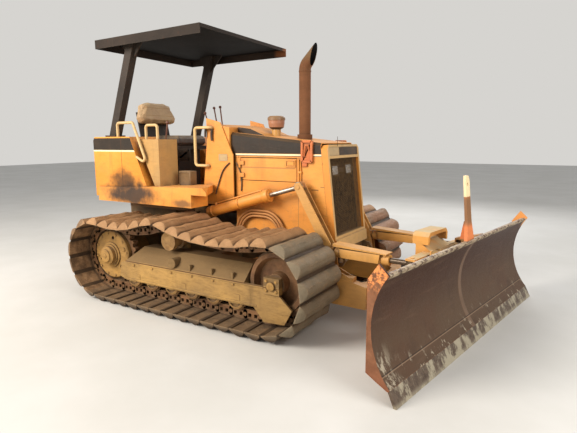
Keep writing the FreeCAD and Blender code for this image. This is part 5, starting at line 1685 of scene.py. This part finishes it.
@dataclass
class HoodTrim:
    """Small pieces on the engine's sides, and the short wire and weld bead above it."""

    side_y: float = 0.339
    cowl_y: float = 0.376
    rod: float = 0.0065

    def bracket(self) -> list[Piece]:
        """Shape one side's orange bracket with its ribbed pocket."""
        y = -self.side_y
        plate = Bench.plate("bracket", (0.932, y - 0.022, 1.388), (1.046, y + 0.002, 1.584),
                            0.008, "y")
        Bench.framed(plate, (0, -1, 0), 0.02, 0.012)
        line = ((0.966, y - 0.02, 1.44), (0.966, y - 0.026, 1.53), (1.012, y - 0.026, 1.55),
                (1.012, y - 0.02, 1.5))
        rib = Bench.tube("rib", line, 0.006)
        foot = Bench.plate("foot", (0.94, y - 0.016, 1.352), (0.99, y + 0.002, 1.39), 0.004)
        return [plate, rib, foot]

    def pipes(self) -> list[Piece]:
        """Draw one side's two upright pipes between the door and the front panel."""
        y = -self.side_y - self.rod - 0.001
        made = []
        for x, low in ((0.905, 1.20), (0.924, 1.15)):
            line = ((x, y, 1.415), (x, y, 1.35), (x + 0.002, y, 1.25), (x, y, low))
            made.append(Bench.tube("pipe", line, self.rod))
            made.append(Bench.plate("clip", (x - 0.011, y - 0.009, 1.29),
                                    (x + 0.011, y + 0.006, 1.31), 0.003))
        return made

    def stays(self) -> list[Piece]:
        """Draw one side's two curved stays beside the hinge line."""
        y, out = -self.side_y - 0.007, -self.cowl_y - 0.009
        rear = ((0.15, out, 1.372), (0.075, out, 1.32), (0.02, out, 1.2), (-0.03, out, 1.06))
        front = ((0.2, y, 1.372), (0.245, y, 1.31), (0.272, y, 1.21), (0.258, y, 1.1))
        return [Bench.tube("stay", points, 0.0055) for points in (rear, front)]

    def hook(self) -> list[Piece]:
        """Draw one side's dark looped strap at the cowl's top."""
        y = -self.cowl_y - 0.014
        loop = ((-0.14, y, 1.62), (-0.142, y, 1.70), (-0.1, y - 0.004, 1.722), (-0.052, y, 1.70),
                (-0.066, y, 1.64), (-0.058, y, 1.585))
        return [Bench.tube("hook", loop, 0.011)]

    def latches(self) -> Piece:
        """Shape one door's latch frame."""
        y = -self.side_y
        latch = Bench.plate("latch_frame", (0.762, y - 0.007, 1.343), (0.868, y + 0.001, 1.408),
                            0.006, "y")
        return Bench.framed(latch, (0, -1, 0), 0.009, 0.0055)

    def plate(self) -> Piece:
        """Shape one side's blank plate on the cowl."""
        y = -self.cowl_y
        plate = Bench.plate("plate", (0.012, y - 0.003, 1.388), (0.122, y + 0.001, 1.455), 0.008, "y")
        return Bench.framed(plate, (0, -1, 0), 0.005, 0.001)

    def aerial(self) -> Piece:
        """Draw the short wire that stands on the guard's top."""
        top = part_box("radiator_guard")[1]
        x, z = top.x - 0.11, top.z
        line = ((x, -0.14, z - 0.012), (x, -0.14, z + 0.03), (top.x - 0.112, -0.139, z + 0.07))
        return Bench.tube("aerial", line, 0.0022)

    def weld(self) -> Piece:
        """Lay the weld bead where the exhaust's bent end begins."""
        bead = Bench.drum("weld", (0.772, 0, 2.219), (0.772, 0, 2.232), 0.0595, 40)
        return Bench.bevel(bead, 0.004, 3, lambda middle, along: abs(along.z) < 0.1)

    def build(self, finishes: Finishes) -> list[Piece]:
        """Build everything and its mirror image.

        Args:
            finishes: the machine's materials.

        Returns:
            The trim by finish.
        """
        made = Bench.groups(finishes, [
            (name, Bench.twinned(parts), finish, slot) for name, parts, finish, slot in (
                ("side_brackets", self.bracket(), "bracket_orange", "yellow_paint"),
                ("side_pipes", self.pipes(), "panel_paint", "yellow_paint"),
                ("stays", [*self.stays(), *self.hook()], "hose_black", "hose_black"),
                ("cowl_plates", [self.plate()], "blank_plate", "pale_trim"))])
        made.append(Bench.ready(self.aerial(), finishes, "hose_black"))
        made.append(Bench.ready(self.weld(), finishes, "exhaust_rust"))
        right = self.latches()
        left = Bench.copies(right, [MIRROR])[0]
        for piece, body, side in ((right, Body.DOOR_RIGHT, "right"), (left, Body.DOOR_LEFT, "left")):
            piece.name = "latch_frame_" + side
            made.append(Bench.ready(piece, finishes, "panel_paint", body, "yellow_paint"))
        return made


@dataclass
class LiftTrim:
    """Gland collars and pressure pipes on the lift cylinders."""

    base: tuple[float, float] = (-0.123, 0.866)
    way: tuple[float, float] = (0.96099, 0.276582)
    y: float = 0.435
    radius: float = 0.056

    def at(self, distance: float, up: float = 0.0) -> tuple[float, float, float]:
        """Give the point at a distance along the right cylinder and up off its axis."""
        x = self.base[0] + self.way[0] * distance - self.way[1] * up
        z = self.base[1] + self.way[1] * distance + self.way[0] * up
        return (x, -self.y, z)

    def build(self, finishes: Finishes) -> list[Piece]:
        """Build both sides' collars and pipes.

        Args:
            finishes: the machine's materials.

        Returns:
            The collars and pipes.
        """
        parts = []
        for start, end, more in ((0.745, 0.803, 0.006), (0.803, 0.812, -0.012), (0.1, 0.118, 0.003)):
            collar = Bench.drum("collar", self.at(start), self.at(end), self.radius + more, 32)
            parts.append(Bench.bevel(collar, 0.003))
        over, sunk = self.radius + 0.009, self.radius - 0.004
        rear, front = 0.16, 0.72
        line = [self.at(distance, up) for distance, up in (
            (rear, sunk), (rear, over), (0.2, over), (0.45, over), (0.69, over), (front, over),
            (front, sunk))]
        parts.append(Bench.tube("pressure_pipe", line, 0.008))
        for distance in (rear, front):
            port = Bench.drum("port", self.at(distance, self.radius - 0.01),
                              self.at(distance, self.radius + 0.016), 0.016, 12)
            parts.append(Bench.bevel(port, 0.003))
        parts.append(Bench.drum("clip", self.at(0.44), self.at(0.456), self.radius + 0.0025, 32))
        whole = Bench.joined("lift_trim", Bench.twinned(parts))
        return [Bench.ready(whole, finishes, "yellow_paint", Body.LIFT_CYLINDERS)]


@dataclass
class FrameTrim:
    """Roller collars, hub rings, idler caps and stops on both track frames."""

    rollers: tuple[float, ...] = (-0.64, -0.388, -0.136, 0.116, 0.368, 0.62)
    roller_z: float = 0.2403
    loop: TrackLoop = field(default_factory=TrackLoop)

    @staticmethod
    def disc(x: float, z: float, near: float, far: float, radius: float, bevel: float,
             sides: int) -> Piece:
        """Add a bevelled disc on the right side between two depths.

        Args:
            x: its axis.
            z: its axis.
            near: the depth at which it starts.
            far: the depth at which it ends.
            radius: its radius.
            bevel: how wide its edges are rounded.
            sides: how many flats it has.

        Returns:
            The disc.
        """
        piece = Bench.drum("disc", (x, -near, z), (x, -far, z), radius, sides)
        return Bench.bevel(piece, bevel, 2, lambda middle, along: abs(along.y) < 0.5)

    def build(self, finishes: Finishes) -> list[Piece]:
        """Build both sides.

        Args:
            finishes: the machine's materials.

        Returns:
            The collars, the rings and the stops.
        """
        collars = []
        for x in self.rollers:
            collar = self.disc(x, self.roller_z, 0.912, 0.944, 0.086, 0.004, 28)
            collars.append(Bench.framed(collar, (0, -1, 0), 0.022, 0.008))
        x, z = self.loop.sprocket_x, self.loop.axle_z
        rings = [self.disc(*row) for row in (
            (x, z, 0.9, 0.915, 0.13, 0.005, 48), (x, z, 0.91, 0.93, 0.108, 0.006, 48),
            (x, z, 0.974, 0.99, 0.066, 0.006, 40), (x, z, 0.988, 0.996, 0.024, 0.004, 20),
            (x + 0.19, z + 0.07, 0.9, 0.912, 0.02, 0.003, 6),
            (self.loop.idler_x, z, 0.978, 1.0, 0.036, 0.004, 24))]
        stops = [Bench.plate("stop", (x - 0.012, -0.963, 0.41), (x + 0.012, -0.925, 0.478), 0.004)
                 for x in (0.12, 0.372, 0.604)]
        stops += [Bench.plate("ear", (x - 0.03, -0.9735, 0.25), (x + 0.03, -0.969, 0.3), 0.004, "y")
                  for x in (-0.55, 0.05, 0.66)]
        stops += [Bench.plate("seam", low, high, 0.002) for low, high in (
            ((-0.7, -0.9745, 0.396), (0.93, -0.969, 0.408)),
            ((-0.7, -0.973, 0.228), (0.86, -0.969, 0.246)))]
        return Bench.groups(finishes, [
            (name, Bench.twinned(parts), finish, slot) for name, parts, finish, slot in (
                ("roller_collars", collars, "roller_steel", "chain_rust"),
                ("hub_rings", rings, "drum_paint", "frame_paint"),
                ("frame_stops", stops, "frame_paint", "frame_paint"))])


@dataclass
class CabTrim:
    """Seat box sides with sunk panels, pedals and small boxes at the operator's feet."""

    def build(self, finishes: Finishes) -> list[Piece]:
        """Build the seat box's panels, the pedals and the step box.

        Args:
            finishes: the machine's materials.

        Returns:
            The dark and the painted pieces.
        """
        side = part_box("seat_base")[0].y
        dark = []
        for x0, x1 in ((-0.9, -0.71), (-0.68, -0.49)):
            panel = Bench.plate("seat_box", (x0, side - 0.012, 1.37), (x1, side + 0.004, 1.5),
                                0.008, "y")
            dark.append(Bench.framed(panel, (0, -1, 0), 0.03, 0.008))
        pedals = []
        for y in (-0.16, 0.0, 0.16):
            pad = Bench.plate("pedal", (-0.235, y - 0.045, 1.09), (-0.215, y + 0.045, 1.19), 0.006)
            pedals.append(Bench.framed(pad, (-1, 0, 0), 0.008, 0.003))
            arm = ((-0.218, y, 1.14), (-0.2, y, 1.06), (-0.19, y, 0.99))
            pedals.append(Bench.tube("pedal_arm", arm, 0.009))
        step = Bench.plate("step_box", (-0.415, -0.5, 1.12), (-0.255, -0.405, 1.285), 0.008)
        Bench.framed(step, (0, -1, 0), 0.014, 0.006)
        return Bench.groups(finishes, (("seat_box_panels", dark, "black_paint", "black_paint"),
                                       ("pedals", pedals, "black_paint", "black_paint"),
                                       ("step_box", [step], "hull_paint", "frame_paint")))


@dataclass
class GuardSkirts:
    """Side sheets that hang from an angle cylinder's guard over its barrel."""

    side: int
    yaw: float
    base: tuple[float, float, float] = (1.29, 0.435, 0.64)
    near: float = 0.1
    far: float = 0.47
    half: float = 0.0575
    low: float = -0.03
    high: float = 0.045

    def build(self, finishes: Finishes) -> list[Piece]:
        """Hang both sheets along the cylinder's line.

        Args:
            finishes: the machine's materials.

        Returns:
            The sheets with their folded lower edges.
        """
        name = "right" if self.side < 0 else "left"
        sheets = []
        for y in (-self.half, self.half):
            sheet = Bench.block("sheet", (self.near, y - 0.003, self.low),
                                (self.far, y + 0.003, self.high))
            Bench.pick(sheet, "FACE", lambda middle, normal: normal.z < -FACING)
            bpy.ops.transform.resize(value=(0.93, 1, 1))
            Bench.done()
            sheets.append(Bench.bevel(sheet, 0.002))
        whole = Bench.joined("guard_skirts_" + name, sheets)
        place = Matrix.Translation((self.base[0], self.side * self.base[1], self.base[2]))
        whole.data.transform(place @ Matrix.Rotation(math.radians(self.yaw), 4, "Z"))
        body = Body.ANGLE_RIGHT if self.side < 0 else Body.ANGLE_LEFT
        return [Bench.ready(whole, finishes, "guard_paint", body, "frame_paint")]


@dataclass
class HoseBoot:
    """Wrinkled rubber boot that gathers the blade hoses behind the yoke."""

    start: tuple[float, float, float] = (1.86, -0.31, 0.555)
    end: tuple[float, float, float] = (2.06, -0.27, 0.565)
    radius: float = 0.045
    folds: int = 7

    def build(self, finishes: Finishes) -> list[Piece]:
        """Build the boot with its folds.

        Args:
            finishes: the machine's materials.

        Returns:
            The boot.
        """
        first, last = Vector(self.start), Vector(self.end)
        folds = []
        for index in range(self.folds):
            share = index / self.folds
            radius = self.radius * (1.0 if index % 2 else 0.86)
            near, far = first.lerp(last, share), first.lerp(last, share + 0.12)
            fold = Bench.drum("fold", near, far, radius, 20)
            folds.append(Bench.bevel(fold, 0.007))
        boot = Bench.joined("hose_boot", folds)
        return [Bench.ready(boot, finishes, "boot_grey", Body.YOKE, "hose_black", 60)]


@dataclass
class BoltSet:
    """Hex heads with washers on the machine's body."""

    name: str
    finish: str
    slot: str
    places: list[tuple[Vector, Vector]]
    across: float = 0.012
    tall: float = 0.009

    def build(self, finishes: Finishes) -> list[Piece]:
        """Model one head and copy it to every place.

        Args:
            finishes: the machine's materials.

        Returns:
            All the heads as one piece.
        """
        washer = Bench.drum("washer", (0, 0, -0.001), (0, 0, 0.003), self.across * 1.35, 16)
        head = Bench.drum("head", (0, 0, 0.002), (0, 0, self.tall), self.across, 6)
        Bench.bevel(head, self.across * 0.16, 2, lambda middle, along: middle.z > self.tall - 0.001)
        spots = [Matrix.Translation(place) @ facing.to_track_quat("Z", "Y").to_matrix().to_4x4()
                 for place, facing in self.places]
        heads = Bench.spread(Bench.joined("bolt", [head, washer]), spots)
        return Bench.groups(finishes, ((self.name, heads, self.finish, self.slot),), angle=30)


@dataclass
class Studio:
    """Plain pale floor, soft lamps and the camera at the photograph's place."""

    eye: tuple[float, float, float] = (3.028, -4.017, 1.580)
    yaw: float = 31.32
    pitch: float = 9.11
    roll: float = -0.23
    focal: float = 471.95
    width: int = 577
    sensor: float = 36.0

    def camera(self) -> None:
        """Set the camera by the calibrated view."""
        yaw, pitch = math.radians(self.yaw), math.radians(self.pitch)
        ahead = Vector((-math.sin(yaw) * math.cos(pitch), math.cos(yaw) * math.cos(pitch),
                        -math.sin(pitch)))
        data = bpy.data.cameras.new("view")
        data.sensor_width = self.sensor
        data.lens = self.sensor * self.focal / self.width
        camera = bpy.data.objects.new("view", data)
        camera.location = self.eye
        roll = Matrix.Rotation(math.radians(self.roll), 3, "Z")
        camera.rotation_euler = (ahead.to_track_quat("-Z", "Y").to_matrix() @ roll).to_euler()
        bpy.context.scene.collection.objects.link(camera)
        bpy.context.scene.camera = camera

    @staticmethod
    def lamp(name: str, place: Sequence[float], aim: Sequence[float], power: float,
             colour: Sequence[float], size: float = 4.0) -> None:
        """Add one soft square lamp.

        Args:
            name: its name.
            place: where it hangs.
            aim: where it looks.
            power: its power in watts.
            colour: its light's linear colour.
            size: its side in metres.
        """
        data = bpy.data.lights.new(name, "AREA")
        data.size = size
        data.energy = power
        data.color = colour
        lamp = bpy.data.objects.new(name, data)
        lamp.location = place
        lamp.rotation_euler = (Vector(aim) - Vector(place)).to_track_quat("-Z", "Y").to_euler()
        bpy.context.scene.collection.objects.link(lamp)

    def floor(self) -> None:
        """Lay the floor and its pale backdrop colour."""
        Bench.clear()
        bpy.ops.mesh.primitive_plane_add(size=60, location=(0, 0, -0.0005))
        plane = Bench.settle(bpy.context.object, "floor")
        g = Graph("floor")
        cloud = g.noise(0.8, 5, 0.6)
        colour = g.blend(g.ramp(cloud, 0.3, 0.7), (206, 202, 194), (214, 210, 203))
        Bench.dress(plane, g.close(colour, 0.9))

    def world(self) -> None:
        """Light the air softly and show it pale to the camera and to metal."""
        world = bpy.data.worlds.new("air")
        bpy.context.scene.world = world
        world.use_nodes = True
        nodes, links = world.node_tree.nodes, world.node_tree.links
        nodes.clear()
        path = nodes.new("ShaderNodeLightPath")
        seen = nodes.new("ShaderNodeMath")
        seen.operation = "MAXIMUM"
        links.new(path.outputs["Is Camera Ray"], seen.inputs[0])
        links.new(path.outputs["Is Glossy Ray"], seen.inputs[1])
        pale, lit = nodes.new("ShaderNodeBackground"), nodes.new("ShaderNodeBackground")
        pale.inputs["Color"].default_value = (*linear((214, 212, 208)), 1)
        pale.inputs["Strength"].default_value = 1.0
        lit.inputs["Color"].default_value = (0.93, 0.96, 1.0, 1)
        lit.inputs["Strength"].default_value = 0.5
        mix, out = nodes.new("ShaderNodeMixShader"), nodes.new("ShaderNodeOutputWorld")
        links.new(seen.outputs[0], mix.inputs[0])
        links.new(lit.outputs[0], mix.inputs[1])
        links.new(pale.outputs[0], mix.inputs[2])
        links.new(mix.outputs[0], out.inputs["Surface"])

    def build(self) -> None:
        """Set the camera, the lamps, the floor and the air."""
        self.camera()
        self.lamp("key", (-3.2, -6.5, 5.0), (0.1, -0.2, 0.9), 820.0, (1.0, 0.95, 0.88))
        self.lamp("fill", (6.5, -2.0, 3.5), (1.0, 0.0, 0.8), 220.0, (1.0, 0.98, 0.95))
        self.lamp("rim", (0.5, 6.5, 5.0), (0.0, 0.0, 1.0), 260.0, (0.95, 0.97, 1.0))
        self.floor()
        self.world()
        bpy.context.scene.view_settings.view_transform = "Standard"


def ring(centre: Sequence[float], axis: str, radius: float, count: int,
         start: float = 0.0) -> list[Vector]:
    """Give points on a circle.

    Args:
        centre: its middle.
        axis: the letter of the axis it turns about.
        radius: its radius.
        count: how many points.
        start: angle of the first in degrees.

    Returns:
        The points.
    """
    made = []
    for index in range(count):
        angle = math.radians(start + 360 * index / count)
        a, b = radius * math.cos(angle), radius * math.sin(angle)
        offset = {"X": (0, a, b), "Y": (a, 0, b), "Z": (a, b, 0)}[axis]
        made.append(Vector(centre) + Vector(offset))
    return made


def machine_bolts() -> list[BoltSet]:
    """List the bolts on each body.

    Returns:
        The sets of bolts, not built yet.
    """
    loop = TrackLoop()
    up = Vector((0, 0, 1))
    drums, panels = [], []
    for side in (-1, 1):
        out = Vector((0, side, 0))
        spots = [*ring((loop.sprocket_x, side * 0.978, loop.axle_z), "Y", 0.045, 8),
                 *ring((loop.sprocket_x, side * 0.902, loop.axle_z), "Y", 0.222, 12, 10),
                 *(Vector((x, side * 0.970, 0.385)) for x in (-0.6, -0.35, -0.1, 0.15, 0.4, 0.62)),
                 *(Vector((x, side * 0.982, z)) for x in (0.968, 1.062) for z in (0.39, 0.47))]
        drums += [(spot, out) for spot in spots]
        panels += [(Vector((x, side * HoodTrim.side_y, z)), out) for x, z in (
            (0.93, 1.40), (0.93, 1.05), (0.93, 0.72), (1.13, 1.38), (1.17, 1.0), (1.19, 0.72),
            (0.22, 1.43), (0.22, 0.75))]
    roof = [(Vector((x, y, 2.603)), up) for x in (-1.24, -0.9, -0.6, -0.3, 0.0, 0.07)
            for y in (-0.67, 0.67)]
    return [
        BoltSet("drum_bolts", "drum_paint", "frame_paint", drums),
        BoltSet("canopy_bolts", "black_paint", "black_paint", roof, 0.011, 0.008),
        BoltSet("panel_bolts", "yellow_paint", "yellow_paint", panels, 0.008, 0.006),
    ]


def main() -> None:
    """Build every sub-assembly in order and report each piece."""
    logging.basicConfig(level=logging.INFO, format="%(message)s")
    finishes = Finishes()
    for finish, nodes in FINISH_NODES.items():
        for node in nodes.split():
            Bench.dress(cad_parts[node], finishes[finish])
    Studio().build()
    grille = GrilleMesh()
    builders = [
        SwampTrack(-1), SwampTrack(1), grille, Lamps(grille), Baffle(grille), BrowPlates(grille),
        HoodTrim(), LiftTrim(), FrameTrim(), CabTrim(), GuardSkirts(-1, -5.31), GuardSkirts(1, -2.68),
        # the seat cushion's dark vinyl is partly painted shade under the canopy
        HoseBoot(), Cushion("seat_cushion", finish="vinyl_dark"),
        Cushion("seat_back", tilt=12.0, pivot=(-1.16, 0, 1.6)), *machine_bolts(),
    ]
    for builder in builders:
        for piece in builder.build(finishes):
            log.info("%s: %d faces", piece.name, len(piece.data.polygons))


if __name__ == "__main__":
    main()
